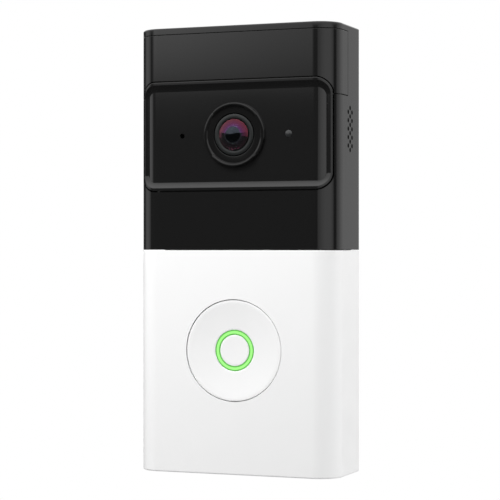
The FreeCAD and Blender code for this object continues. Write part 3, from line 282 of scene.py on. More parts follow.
def radial(tree: Tree, centre: Point, marks: Sequence[Mark]) -> Socket:
    """A colour that changes with the distance from an axis that runs front to back.

    Args:
        tree: The material's tree.
        centre: The axis's x and z in millimetres.
        marks: Distances in millimetres, each with its sRGB hex colour.
    """
    place = add(tree, "ShaderNodeTexCoord").outputs["Object"]
    middle = (centre[0] * MM, 0, centre[1] * MM)
    shift = add(tree, "ShaderNodeVectorMath", {"operation": "SUBTRACT", 1: middle}, {0: place})
    flat = add(tree, "ShaderNodeVectorMath", {"operation": "MULTIPLY", 1: (1, 0, 1)}, {0: shift.outputs[0]})
    reach = add(tree, "ShaderNodeVectorMath", {"operation": "LENGTH"}, {0: flat.outputs[0]})
    far = marks[-1][0]
    share = add(tree, "ShaderNodeMapRange", {"From Min": 0.0, "From Max": far * MM},
                {"Value": reach.outputs["Value"]})
    stops = [(distance / far, linear(colour)) for distance, colour in marks]
    return colour_ramp(tree, share.outputs[0], stops)


@dataclass(frozen=True)
class Finish:
    """A surface: its colour, gloss and the fine relief that its making leaves.

    Attributes:
        name: The material's name.
        colour: sRGB hex.
        roughness: From 0, mirror, to 1.
        grain_size: The width in millimetres of the blobs in the relief.
        relief: Their height in micrometres.
        unevenness: How much the roughness varies about its value.
        ior: Index of refraction.
        metallic: 1 for bare metal.
        mottle: How far the colour darkens in patches, 0 to 1.
        brushed: How many times longer the grain is along X than across.
    """

    name: str
    colour: str
    roughness: float
    grain_size: float = 0.4
    relief: float = 1.0
    unevenness: float = 0.05
    ior: float = 1.5
    metallic: float = 0.0
    mottle: float = 0.08
    brushed: float = 1.0

    def material(self) -> bpy.types.Material:
        """The material, made once for each name."""
        found = bpy.data.materials.get(self.name)
        return found or self.make()

    def make(self) -> bpy.types.Material:
        """Build the node tree."""
        made = bpy.data.materials.new(self.name)
        made.use_nodes = True
        tree = made.node_tree
        tree.nodes.clear()
        place = add(tree, "ShaderNodeTexCoord").outputs["Object"]
        spread = add(tree, "ShaderNodeMapping", {"Scale": (1 / self.brushed, 1, 1)}, {"Vector": place})
        fine = add(tree, "ShaderNodeTexNoise", {"Scale": grain(self.grain_size), "Detail": 3.0},
                   {"Vector": spread.outputs[0]})
        wide = add(tree, "ShaderNodeTexNoise", {"Scale": grain(self.grain_size * PATCH), "Detail": 2.0},
                   {"Vector": place})
        rough = add(tree, "ShaderNodeMapRange", {
            "From Min": 0.3, "From Max": 0.7, "To Min": max(self.roughness - self.unevenness, 0.01),
            "To Max": self.roughness + self.unevenness,
        }, {"Value": wide.outputs["Fac"]})
        base = linear(self.colour)
        low = tuple(share * (1 - self.mottle) for share in base)
        tone = add(tree, "ShaderNodeMix", {"data_type": "RGBA"})
        tone.inputs["A"].default_value = (*low, 1)
        tone.inputs["B"].default_value = (*base, 1)
        tone = self.tone(tree, tone, fine, wide)
        bump = add(tree, "ShaderNodeBump", {"Distance": self.relief * MICRON},
                   {"Height": fine.outputs["Fac"]})
        shader = add(tree, "ShaderNodeBsdfPrincipled", {"IOR": self.ior, "Metallic": self.metallic}, {
            "Base Color": tone, "Roughness": rough.outputs[0], "Normal": bump.outputs[0],
        })
        self.extra(tree, shader)
        add(tree, "ShaderNodeOutputMaterial", links={"Surface": shader.outputs[0]})
        made.diffuse_color = (*base, 1)
        return made

    def tone(self, tree: Tree, mix: bpy.types.Node, fine: bpy.types.Node,
             wide: bpy.types.Node) -> Socket:
        """The colour socket; a plain finish is mottled by its wide noise."""
        tree.links.new(wide.outputs["Fac"], mix.inputs["Factor"])
        return mix.outputs["Result"]

    def extra(self, tree: Tree, shader: bpy.types.Node) -> None:
        """Settings that only some finishes have; a plain one has none."""


@dataclass(frozen=True)
class Glass(Finish):
    """Clear or coated glass.

    Attributes:
        clear: How much light gets through, 0 to 1.
        centre: The lens's axis, x and z.
        coating: The colour that the coating throws back, by distance from the axis; on the front lens its
            blue-grey middle is a painted reflection of the inner lens.
        body: The colour that the glass lets through, by distance from the axis; on the front lens it is
            darker in the middle and holds a painted bright ring that stands for the lit retaining ring
            behind.
    """

    clear: float = 1.0
    centre: Point = (0.0, 35.9)
    coating: tuple[Mark, ...] = ()
    body: tuple[Mark, ...] = ()

    def extra(self, tree: Tree, shader: bpy.types.Node) -> None:
        """Let light through and tint the glint of the coating."""
        shader.inputs["Transmission Weight"].default_value = self.clear
        if self.coating:
            tree.links.new(radial(tree, self.centre, self.coating), shader.inputs["Specular Tint"])
        # On the front lens the body ramp paints a bright ring, a painted highlight of the retaining ring
        # behind the glass.
        if self.body:
            tree.links.new(radial(tree, self.centre, self.body), shader.inputs["Base Color"])


@dataclass(frozen=True)
class LitGuide(Finish):
    """A frosted light guide that glows, less so at its edges, partly as its own light falls off and partly as
    painted shade where the edges meet the gaps.

    Attributes:
        centre: The ring's axis, x and z.
        glow: The colour of its light, by distance from the axis; its dim ends are partly painted shade at the
            gaps.
        power: The strength of the light.
    """

    centre: Point = (0.0, -31.3)
    glow: tuple[Mark, ...] = ()
    power: float = 1.0

    def extra(self, tree: Tree, shader: bpy.types.Node) -> None:
        """The lamps behind make the guide shine, most of all along its middle; its dim edges are partly
        painted shade.
        """
        tree.links.new(radial(tree, self.centre, self.glow), shader.inputs["Emission Color"])
        shader.inputs["Emission Strength"].default_value = self.power


class Stock(Enum):
    """Every finish on the doorbell, by what it is made of and how."""

    # Injection-moulded ABS from a polished tool: near black, mirror-like, with faint flow marks.
    BLACK_ABS = Finish("gloss_black_abs", "171717", 0.045, grain_size=1.6, relief=0.25, unevenness=0.015)
    # Dark polycarbonate that lets infrared through: as dark and glossy as the case.
    DARK_WINDOW = Finish("infrared_polycarbonate", "171717", 0.05, grain_size=2.0, relief=0.15,
                         unevenness=0.015, ior=1.58)
    # ABS from a spark-eroded tool: an even satin white.
    WHITE_ABS = Finish("satin_white_abs", "f3f3f3", 0.38, grain_size=0.35, relief=1.2, unevenness=0.04,
                       mottle=0.012)
    # Glass-filled nylon of the hidden frames: dull, with a coarse spark-eroded grain.
    BLACK_NYLON = Finish("matt_black_nylon", "1c1c1e", 0.55, grain_size=0.3, relief=4.0)
    # Polished polycarbonate of the lens hood, a shade darker than the window that it stands on.
    HOOD = Finish("polished_black_polycarbonate", "131313", 0.05, grain_size=1.0, relief=0.2, ior=1.4)
    # Fine-turned aluminium, anodised dark grey.
    BARREL = Finish("anodised_lens_barrel", "1b1d1d", 0.3, grain_size=0.25, relief=0.8, unevenness=0.04,
                    ior=1.45)
    GREY = Finish("grey_abs", "4a4b4d", 0.5, grain_size=0.3, relief=2.5)
    RUBBER = Finish("moulded_black_rubber", "141415", 0.7, grain_size=0.35, relief=6.0, mottle=0.2)
    SILICONE = Finish("translucent_silicone", "c9c9c6", 0.5, grain_size=0.6, relief=2.0)
    FOAM = Finish("black_foam", "1a1a1b", 0.95, grain_size=0.25, relief=40.0, mottle=0.5)
    BOARD = Finish("green_solder_mask", "0f4a26", 0.32, grain_size=0.5, relief=3.0, mottle=0.25)
    CHIP = Finish("moulded_chip", "1d1d1f", 0.6, grain_size=0.15, relief=2.0)
    TIN = Finish("tinned_steel", "c9c9c4", 0.28, grain_size=0.12, metallic=1.0, brushed=8.0)
    STEEL = Finish("zinc_plated_screw", "b9b9b6", 0.3, grain_size=0.2, relief=1.5, metallic=1.0)
    SPRING = Finish("rolled_spring_steel", "9fa0a2", 0.32, grain_size=0.1, metallic=1.0,
                    brushed=12.0)
    BRASS = Finish("turned_brass", "c9a35a", 0.3, grain_size=0.15, relief=1.5, metallic=1.0)
    WRAP = Finish("battery_shrink_wrap", "2c4f86", 0.25, grain_size=4.0, relief=12.0)
    LAMP = Finish("lamp_resin", "e9e3bf", 0.3, grain_size=0.3)
    FILM = Finish("polyimide_film", "9a6a22", 0.3, grain_size=1.0, relief=2.0)
    # Smoked front glass, its coating blue-grey in the middle, violet round that and pink at the edge; the
    # blue-grey middle is a painted reflection of the inner lens.
    COATED = Glass("coated_lens_glass", "3c4644", 0.01, grain_size=2.0, relief=0.0, unevenness=0.0, ior=1.9,
                   clear=0.88,
                   coating=((0.0, "9ca8ba"), (2.35, "9ca8ba"), (2.6, "c870e0"), (3.4, "e068b4"),
                            (4.9, "f46880")),
                   # Body: darker in the middle, with a painted bright ring at 2.65 mm for the lit retaining
                   # ring behind the glass.
                   body=((0.0, "101212"), (2.4, "121414"), (2.65, "5c6664"), (3.0, "3c4442"),
                         (4.9, "444e4c")))
    # The inner element: dark, with a cold coating.
    INNER_GLASS = Glass("inner_lens_glass", "030404", 0.01, grain_size=2.0, relief=0.0, unevenness=0.0,
                        ior=1.8, clear=0.2, coating=((0.0, "b0ccd8"), (2.7, "90b0c0")))
    # Turned aluminium, left bright.
    RETAINER = Finish("satin_aluminium", "dcdedd", 0.22, grain_size=0.1, relief=0.6, metallic=1.0)
    CLEAR = Glass("clear_polycarbonate", "c8ccd0", 0.08, grain_size=1.0, relief=0.5, unevenness=0.02,
                  ior=1.58)
    # A smoked light pipe over the light sensor.
    PIPE = Glass("smoked_light_pipe", "303132", 0.06, grain_size=1.0, relief=0.3, unevenness=0.02,
                 clear=0.1)
    # Frosted acrylic lit from behind by green lamps; its glow dims at both edges, partly as painted shade
    # where they meet the gaps.
    GREEN = LitGuide("lit_green_guide", "2f6a26", 0.35, grain_size=0.5, glow=(
        (4.9, "4c963c"), (5.15, "5aa84a"), (5.4, "a6f889"), (5.65, "a8ff8e"), (5.93, "a6f889"),
        (6.17, "5aa84a"), (6.4, "4c963c")))

    def material(self) -> bpy.types.Material:
        """The stock's material."""
        return self.value.material()


# --- case -------------------------------------------------------------------------------------


@dataclass
class Case:
    """The outer block: a rectangle from above, with both front corners rounded."""

    half_width: float = 33.425
    front: float = -24.4
    back: float = -0.4
    half_height: float = 70.0
    corner: float = 7.5
    rear_corner: float = 0.8
    wall: float = 2.0
    steps: int = 32
    edge_steps: int = 5

    def rim(self, inset: float, back: float, rear: float = 0.0) -> list[Point]:
        """The case from above, drawn in by an inset, from its left rear round the front to its right rear.

        Args:
            inset: How far inside the outer face, in millimetres.
            back: The y where both sides end.
            rear: A small radius where the sides meet the back.
        """
        radius = self.corner - inset
        side, top = self.half_width - inset, self.front + inset
        points: list[Point] = []
        if rear:
            points += arc((-side + rear, back - rear), rear, 90, 180, 4)
        else:
            points.append((-side, back))
        points += arc((-side + radius, top + radius), radius, 180, 270, self.steps)
        points += arc((side - radius, top + radius), radius, 270, 360, self.steps)
        if rear:
            points += arc((side - rear, back - rear), rear, 0, 90, 4)
        else:
            points.append((side, back))
        return points

    def depth_at(self, x: float, inset: float = 0.0) -> float:
        """The y of the front face at a place across the case, an inset below the outer face."""
        centre = self.half_width - self.corner
        past = max(abs(x) - centre, 0.0)
        radius = self.corner - inset
        return self.front + self.corner - math.sqrt(max(radius ** 2 - past ** 2, 0.0))

    def levels(self, low: float, high: float, low_round: float, high_round: float) -> list[Point]:
        """Heights with the inset that each adds, so that both ends have rounded edges."""
        rows: list[Point] = []
        for end, radius, sign in ((low, low_round, 1), (high, high_round, -1)):
            turns = [math.radians(90 * step / self.edge_steps) for step in range(self.edge_steps + 1)]
            rows += sorted(
                (end + sign * radius * (1 - math.sin(turn)), radius * (1 - math.cos(turn))) for turn in turns
            ) if radius else [(end, 0.0)]
        return sorted(rows)

    def block(self, name: str, low: float, high: float, inset: float = 0.0, back: float | None = None,
              low_round: float = 0.0, high_round: float = 0.0) -> Piece:
        """A filled block of the case between two heights."""
        end = self.back if back is None else back
        rings = [
            [(x, y, z) for x, y in self.rim(inset + extra, end - extra, self.rear_corner)]
            for z, extra in self.levels(low, high, low_round, high_round)
        ]
        return solid(name, rings)

    def wrap(self, name: str, low: float, high: float, outer: float, inner: float, back: float,
             edge: float = 0.0) -> Piece:
        """A skin round the front and both corners, between two insets, its sides ending at back."""
        rings = []
        for z, extra in self.levels(low, high, edge, edge):
            shape = self.rim(outer + extra, back - extra) + self.rim(inner, back - extra)[::-1]
            rings.append([(x, y, z) for x, y in shape])
        return solid(name, rings)


@dataclass
class Upper:
    """The black half: housing, front cap, bezel and camera panel."""

    case: Case
    seam: float = 0.075
    cap_low: float = 48.0
    cap_high: float = 67.8
    cap_back: float = -12.15
    cap_thickness: float = 1.0
    gap: float = 0.22
    opening_middle: float = 35.775
    opening_half: Point = (32.05, 17.525)
    opening_corner: float = 5.2
    bezel_gap: float = 0.36
    strip_side: float = 0.45
    strip_rise: float = 1.0
    recess: float = 1.1
    slope_side: float = 1.45
    slope_top: float = 2.0
    slope_low: float = 1.65
    mouth_corner: float = 2.6
    seat: float = 3.0
    panel_thickness: float = 1.2
    lens: Point = (0.0, 35.9)
    neck: float = 8.35
    eyes: dict[Point, float] = field(default_factory=lambda: {(-17.75, 35.9): 0.8, (17.9, 35.9): 1.2})

    def opening(self) -> Piece:
        """The bar that cuts the bezel's opening."""
        shape = rounded_rectangle(*self.opening_half, self.opening_corner, 16)
        return prism("opening", shape, self.opening_middle, self.case.front - 1, self.case.front + 8.6)

    def housing(self) -> None:
        """The shell itself, open at the back and at the seam, with the sound holes in its right wall."""
        case = self.case
        shell = case.block("case_upper", self.seam, case.half_height, low_round=0.12, high_round=0.5)
        hollow = case.block("hollow", -5, case.half_height - case.wall, inset=case.wall, back=5)
        rebate = case.wrap("rebate", self.cap_low - self.gap, self.cap_high + self.gap, -1,
                           self.cap_thickness + 0.05, self.cap_back + self.gap)
        cut(shell, hollow, rebate, self.opening())
        Grille().pierce(shell)
        shaded(shell)
        dressed(shell, Stock.BLACK_ABS, "doorbell", "upper_housing")

    def cap(self) -> None:
        """The skin over the top of the front."""
        skin = self.case.wrap("cap_front", self.cap_low, self.cap_high, 0, self.cap_thickness,
                              self.cap_back, edge=0.1)
        cut(skin, self.opening())
        shaded(skin)
        dressed(skin, Stock.BLACK_ABS, "doorbell", "front_cap")

    def outline(self, strip: float, slope: float, gap: float = 0.0) -> list[Point]:
        """The bezel's outline part-way in, seen from the front.

        Args:
            strip: How far across the flat strip, 0 at the outer edge to 1.
            slope: How far down the slope, 0 at the strip to 1 at the mouth.
            gap: Extra clearance all round.
        """
        side = self.bezel_gap + self.strip_side * strip + self.slope_side * slope + gap
        top = self.bezel_gap + self.strip_rise * strip + self.slope_top * slope + gap
        low = self.bezel_gap + self.strip_rise * strip + self.slope_low * slope + gap
        half_x, half_z = self.opening_half
        radius = max(self.opening_corner - (side + top) / 2, self.mouth_corner - gap)
        shape = rounded_rectangle(half_x - side, half_z - (top + low) / 2, radius, 16)
        return [(x, self.opening_middle + (low - top) / 2 + z) for x, z in shape]

    def bezel(self) -> None:
        """The frame round the camera panel: a flat strip, then hollow slopes that fall to the panel."""
        rows: list[tuple[float, float, float, float]] = [(0, 0, 0, self.seat - 0.1), (0, 0, 0, 0.15)]
        rows += [(0.15 * (1 - math.cos(turn)), 0, 0, 0.15 * (1 - math.sin(turn)))
                 for turn in (math.radians(18 * step) for step in range(1, 6))]
        rows += [(share, 0, 0, 0) for share in (0.3, 0.85, 0.94)]
        for step in range(11):
            share = step / 10
            rows.append((1, share, 0.04 + (self.recess - 0.04) * (1 - (1 - share) ** 1.3), 0))
        rows += [(1, 1, self.recess + 0.12, 0), (1, 1, self.recess, 1.6)]
        rings = []
        for strip, slope, inset, back in rows:
            shape = self.dense(self.outline(strip, slope))
            rings.append([(x, self.case.depth_at(x, inset) + back, z) for x, z in shape])
        ring = shaded(solid("bezel_camera", rings, closed=True), sharp=60)
        dressed(ring, Stock.BLACK_ABS, "doorbell", "camera_bezel")

    def dense(self, shape: Sequence[Point]) -> list[Point]:
        """The same outline with more points where it runs over the case's rounded corners."""
        points: list[Point] = []
        start = self.case.half_width - self.case.corner
        for here, there in zip(shape, list(shape[1:]) + [shape[0]]):
            points.append(here)
            if abs(here[0] - there[0]) > 10:
                sign = 1 if there[0] > here[0] else -1
                reach = abs(here[0])
                marks = [start + (reach - start) * step / 8 for step in range(8)]
                ordered = [-mark for mark in reversed(marks)] + marks
                points += [(sign * mark, here[1]) for mark in ordered]
        return points

    def panel(self) -> None:
        """The dark window in the bezel's mouth, its flange, and its holes for lens, microphone and sensor."""
        case = self.case
        low, high = (self.opening_middle + side * (self.opening_half[1] + 2) for side in (-1, 1))
        back = case.front + case.corner + 0.1
        window = case.wrap("panel_camera", low, high, self.recess, self.seat + 0.3, back)
        mouth = self.outline(1, 1, gap=0.04)
        combined(window, prism("mouth", mouth, 0, case.front - 1, 0), "INTERSECT")
        flange = case.wrap("flange", low, high, self.seat + 0.02, self.seat + self.panel_thickness, back)
        combined(window, flange, "UNION")
        near, far = case.front, case.front + 6
        tools = [cylinder("hole", *self.lens, self.neck, near, far)]
        tools += [cylinder("hole", *place, radius, near, far, 32) for place, radius in self.eyes.items()]
        cut(window, *tools)
        shaded(window)
        dressed(window, Stock.DARK_WINDOW, "doorbell", "camera_panel")

    def build(self) -> None:
        """Make the four pieces."""
        self.housing()
        self.cap()
        self.bezel()
        self.panel()


@dataclass
class Grille:
    """The sound holes in the right wall: three columns, the middle one set half a step higher."""

    top: float = 44.25
    depth: float = -9.9
    side: float = 33.425
    rows: int = 6
    pitch: float = 2.62
    column: float = 1.85
    radius: float = 0.72
    bar_length: float = 6

    def tree(self) -> Tree:
        """Geometry nodes that cut the holes: rows of bars are made, realised and taken from the wall."""
        tree = bpy.data.node_groups.new("sound_holes", "GeometryNodeTree")
        face = tree.interface
        face.new_socket("Geometry", in_out="INPUT", socket_type="NodeSocketGeometry")
        for name, value in (("Radius", self.radius), ("Pitch", self.pitch), ("Column", self.column)):
            socket = face.new_socket(name, in_out="INPUT", socket_type="NodeSocketFloat")
            socket.default_value = value * MM
        face.new_socket("Rows", in_out="INPUT", socket_type="NodeSocketInt").default_value = self.rows
        face.new_socket("Top", in_out="INPUT", socket_type="NodeSocketVector")
        face.new_socket("Material", in_out="INPUT", socket_type="NodeSocketMaterial")
        face.new_socket("Geometry", in_out="OUTPUT", socket_type="NodeSocketGeometry")
        source = add(tree, "NodeGroupInput")
        bar = add(tree, "GeometryNodeMeshCylinder", {"Vertices": 24, "Depth": self.bar_length * MM},
                  {"Radius": source.outputs["Radius"]})
        down = maths(tree, "MULTIPLY", source.outputs["Pitch"], -1.0)
        step = add(tree, "ShaderNodeCombineXYZ", links={"Z": down})
        half = add(tree, "ShaderNodeVectorMath", {"operation": "SCALE", "Scale": 0.5}, {0: step.outputs[0]})
        fewer = maths(tree, "SUBTRACT", source.outputs["Rows"], 1.0)
        spots = add(tree, "GeometryNodeJoinGeometry")
        for side in (-1, 0, 1):
            across = maths(tree, "MULTIPLY", source.outputs["Column"], float(side))
            shift = add(tree, "ShaderNodeCombineXYZ", links={"Y": across})
            start = add(tree, "ShaderNodeVectorMath", {"operation": "ADD"},
                        {0: source.outputs["Top"], 1: shift.outputs[0]})
            if side:
                start = add(tree, "ShaderNodeVectorMath", {"operation": "ADD"},
                            {0: start.outputs[0], 1: half.outputs[0]})
            count = fewer if side else source.outputs["Rows"]
            line = add(tree, "GeometryNodeMeshLine", links={
                "Count": count, "Start Location": start.outputs[0], "Offset": step.outputs[0],
            })
            tree.links.new(line.outputs[0], spots.inputs[0])
        bars = add(tree, "GeometryNodeInstanceOnPoints", {"Rotation": (0, math.pi / 2, 0)},
                   {"Points": spots.outputs[0], "Instance": bar.outputs["Mesh"]})
        real = add(tree, "GeometryNodeRealizeInstances", links={"Geometry": bars.outputs[0]})
        carve = add(tree, "GeometryNodeMeshBoolean", {"operation": "DIFFERENCE", "solver": "EXACT"})
        tree.links.new(source.outputs["Geometry"], carve.inputs["Mesh 1"])
        tree.links.new(real.outputs[0], carve.inputs["Mesh 2"])
        whole = add(tree, "GeometryNodeRealizeInstances", links={"Geometry": carve.outputs["Mesh"]})
        dress = add(tree, "GeometryNodeSetMaterial",
                    links={"Geometry": whole.outputs[0], "Material": source.outputs["Material"]})
        add(tree, "NodeGroupOutput", links={"Geometry": dress.outputs[0]})
        return tree

    def pierce(self, shell: Piece) -> None:
        """Run the tree on the shell and keep the plain mesh."""
        tree = self.tree()
        holes = shell.modifiers.new("sound_holes", "NODES")
        holes.node_group = tree
        names = {item.name: item.identifier for item in tree.interface.items_tree if item.in_out == "INPUT"}
        holes[names["Top"]] = (self.side * MM, self.depth * MM, self.top * MM)
        holes[names["Material"]] = Stock.BLACK_ABS.material()
        baked(shell)


# --- camera -----------------------------------------------------------------------------------


@dataclass
class Lens:
    """The lens assembly, turned about one axis: hood, barrel, glasses and retaining ring."""

    x: float = 0.0
    z: float = 35.9
    front: float = -24.4
    hood_radius: float = 10.1
    hood_neck: float = 8.3
    hood_bore: float = 6.75
    hood_length: float = 6.2
    rise: float = 0.2
    floor: float = 0.5
    seat: float = 1.1
    relief: float = 0.52
    relief_from: float = 6.6
    relief_to: float = 7.3
    barrel_radius: float = 6.5
    barrel_bore: float = 2.4
    barrel_tail: float = 5.0
    barrel_step: float = 6.0
    barrel_length: float = 8.6
    stack_bore: float = 3.15
    inner_radius: float = 2.6
    glass_radius: float = 4.85
    glass_edge: float = 0.4
    glass_rise: float = 1.1
    glass_seat: float = 1.5
    inner_seat: float = 2.7
    steps: int = 128

    def behind(self, depth: float) -> float:
        """The y at a depth behind the front face."""
        return self.front + depth

    def lower_rim(self, side: float, rise: float, y: float) -> float:
        """How far the rim is cut down at the left and right."""
        share = min(max((abs(side) - self.relief_from) / (self.relief_to - self.relief_from), 0.0), 1.0)
        height = min(max((self.behind(self.floor) - y) / (self.floor + self.rise), 0.0), 1.0)
        return self.relief * share * height

    def hood(self) -> None:
        """The ring round the lens, with a bevelled rim and a flat floor."""
        at, radius, top, floor = self.behind, self.hood_radius, -self.rise, self.floor
        bore, neck, end, stand = self.hood_bore, self.hood_neck, at(self.hood_length), at(self.seat + 0.02)
        profile = [
            (bore, end), (neck, end), (neck, stand), (radius, stand),
            (radius, at(top + 0.42)), (radius - 0.04, at(top + 0.28)), (radius - 0.14, at(top + 0.12)),
            (radius - 0.3, at(top + 0.02)), (radius - 0.42, at(top)), (radius - 0.8, at(top)),
            (radius - 0.92, at(top + 0.06)), (radius - 1.18, at(floor - 0.1)),
            (radius - 1.24, at(floor - 0.02)), (radius - 1.32, at(floor)),
            (6.95, at(floor)), (6.8, at(floor + 0.05)), (bore, at(floor + 0.2)),
        ]
        ring = turned("hood", profile, self.x, self.z, self.steps, self.lower_rim)
        dressed(shaded(ring, sharp=38), Stock.HOOD, "doorbell", "lens_hood")

    def barrel(self) -> None:
        """The barrel: a grey ring that slopes down to the glass."""
        at, radius, glass = self.behind, self.barrel_radius, self.glass_radius
        bore, tail = self.barrel_bore, self.barrel_tail
        step, end = at(self.barrel_step), at(self.barrel_length)
        stack, seat, deep = self.stack_bore, at(self.glass_seat), at(self.inner_seat)
        profile = [
            (bore, end), (tail, end), (tail, step), (radius, step), (radius, at(0.7)),
            (radius - 0.06, at(0.56)), (radius - 0.2, at(0.5)), (glass + 0.42, at(0.5)),
            (glass + 0.33, at(0.53)), (glass + 0.1, at(0.76)), (glass + 0.05, at(0.84)),
            (glass + 0.05, seat), (stack, seat), (stack, deep), (bore, deep),
        ]
        ring = turned("barrel", profile, self.x, self.z, self.steps)
        dressed(shaded(ring, sharp=38), Stock.BARREL, "doorbell", "lens_barrel")

    def dome(self, radius: float, edge: float, rise: float, steps: int) -> list[Point]:
        """The profile of a domed face, from its edge to its middle, as radius and y."""
        curve = (radius ** 2 + rise ** 2) / (2 * rise)
        spots = [radius * (1 - step / steps) for step in range(steps + 1)]
        return [(spot, edge - rise + curve - math.sqrt(curve ** 2 - spot ** 2)) for spot in spots]

    def glasses(self) -> None:
        """The front lens, the retaining ring behind it and the inner lens."""
        at, radius, small = self.behind, self.glass_radius, self.inner_radius
        seat, inner_seat = self.glass_seat - 0.05, self.inner_seat - 0.05
        back = self.dome(3.1, at(seat), 0.8, 12)[::-1]
        front = self.dome(radius, at(self.glass_edge), self.glass_rise, 24)
        shape = [(0.0, back[0][1])] + back[1:] + [(radius, at(seat))] + front
        lens = turned("glass_front", shape, self.x, self.z, self.steps)
        dressed(shaded(lens, sharp=40), Stock.COATED, "doorbell", "front_lens")
        inner = self.dome(small, at(inner_seat - 0.5), 0.7, 20)
        shape = [(0.0, at(inner_seat)), (small, at(inner_seat))] + inner
        bead = turned("glass_inner", shape, self.x, self.z, self.steps)
        dressed(shaded(bead, sharp=40), Stock.INNER_GLASS, "doorbell", "inner_lens")
        shape = [(2.65, at(inner_seat)), (3.1, at(inner_seat)), (3.1, at(inner_seat - 0.9)),
                 (3.05, at(inner_seat - 0.95)), (2.75, at(inner_seat - 0.8)), (2.65, at(inner_seat - 0.73))]
        ring = turned("retainer", shape, self.x, self.z, self.steps)
        dressed(shaded(ring, sharp=50), Stock.RETAINER, "doorbell", "lens_retainer")

    def build(self) -> None:
        """Make the whole lens."""
        self.hood()
        self.barrel()
        self.glasses()


# --- lower half and button --------------------------------------------------------------------


@dataclass
class Button:
    """The dished button: cap, ring of light and the cap in the middle of the ring."""

    x: float = 0.0
    z: float = -31.3
    face: float = -24.2
    radius: float = 15.75
    edge_round: float = 0.2
    rim: float = 0.75
    dish: float = 1.0
    ring: Point = (4.9, 6.4)
    wall: float = 1.3
    plate: float = 1.4
    flange: Point = (-18.98, -19.68)
    flange_reach: float = 1.0
    stem: float = -18.9
    stem_radius: float = 1.5
    steps: int = 128

    def hollow(self, radius: float) -> float:
        """The y of the dished face at a radius."""
        edge = self.radius - self.rim
        curve = (edge ** 2 + self.dish ** 2) / (2 * self.dish)
        return self.face + self.dish - curve + math.sqrt(curve ** 2 - radius ** 2)

    def span(self, first: float, last: float, count: int) -> list[Point]:
        """Points on the dished face between two radii."""
        spots = [first + (last - first) * step / count for step in range(count + 1)]
        return [(spot, self.hollow(spot)) for spot in spots]

    def cap(self) -> None:
        """The white dish with its skirt."""
        plate = self.face + self.dish + self.plate
        inner, edge = self.ring[1] + 0.05, self.radius - self.rim
        skirt, reach, (low, high) = self.radius - self.wall, self.radius + self.flange_reach, self.flange
        profile = [(inner + 0.06, plate), (skirt, plate), (skirt, low), (reach, low), (reach, high),
                   (self.radius, high)]
        bend = self.edge_round
        profile += [(self.radius - bend + bend * math.cos(turn), self.face + bend - bend * math.sin(turn))
                    for turn in (math.radians(18 * step) for step in range(6))]
        profile += self.span(edge - 0.05, inner + 0.12, 18)
        profile += [(inner + 0.03, self.hollow(inner) + 0.04), (inner, self.hollow(inner) + 0.15)]
        dish = turned("dish", profile, self.x, self.z, self.steps)
        dressed(shaded(dish, sharp=38), Stock.WHITE_ABS, "button", "button_cap")

    def glow(self) -> None:
        """The ring of light, a frosted guide that stands a hair below the dish."""
        inner, outer = self.ring
        plate = self.face + self.dish + self.plate
        profile = [(0, self.stem), (self.stem_radius, self.stem), (self.stem_radius, plate + 0.9),
                   (outer + 1.4, plate + 0.9),
                   (outer + 1.4, plate + 0.05), (outer, plate + 0.05), (outer, self.hollow(outer) + 0.12)]
        profile += [(spot, y + 0.06) for spot, y in self.span(outer - 0.1, inner + 0.1, 6)]
        profile += [(inner, self.hollow(inner) + 0.12), (inner, plate), (0, plate)]
        ring = turned("ring_of_light", profile, self.x, self.z, self.steps)
        dressed(shaded(ring, sharp=38), Stock.GREEN, "button", "light_ring")

    def middle(self) -> None:
        """The white cap inside the ring."""
        plate = self.face + self.dish + 1.35
        edge = self.ring[0] - 0.05
        profile = [(0, plate), (edge, plate), (edge, self.hollow(edge) + 0.15),
                   (edge - 0.04, self.hollow(edge) + 0.04)]
        profile += self.span(edge - 0.14, 0, 8)
        cap = turned("cap_middle", profile, self.x, self.z, self.steps)
        dressed(shaded(cap, sharp=38), Stock.WHITE_ABS, "button", "centre_cap")

    def build(self) -> None:
        """Make the three pieces."""
        self.cap()
        self.glow()
        self.middle()


@dataclass
class Lower:
    """The white half of the case, with the hole for the button and the hole for the release pin."""

    case: Case
    seam: float = -0.075
    button: Point = (0.0, -31.3)
    button_hole: float = 15.97
    pin_hole: float = 1.3
    pin_y: float = -1.9
    pin_span: Point = (-72, -66)

    def build(self) -> None:
        """Make the shell."""
        case = self.case
        shell = case.block("case_lower", -case.half_height, self.seam, low_round=0.5, high_round=0.2)
        hollow = case.block("hollow", case.wall - case.half_height, 5, inset=case.wall, back=5)
        hole = cylinder("hole", *self.button, self.button_hole, case.front - 1, case.front + 4, 128)
        turns = [math.radians(15 * step) for step in range(24)]
        radius = self.pin_hole
        circle = [(radius * math.cos(turn), self.pin_y + radius * math.sin(turn)) for turn in turns]
        pin = solid("pin", [[(x, y, z) for x, y in circle] for z in self.pin_span])
        cut(shell, hollow, hole, pin)
        shaded(shell)
        dressed(shell, Stock.WHITE_ABS, "doorbell", "lower_cover")


# --- carried-over pieces ----------------------------------------------------------------------

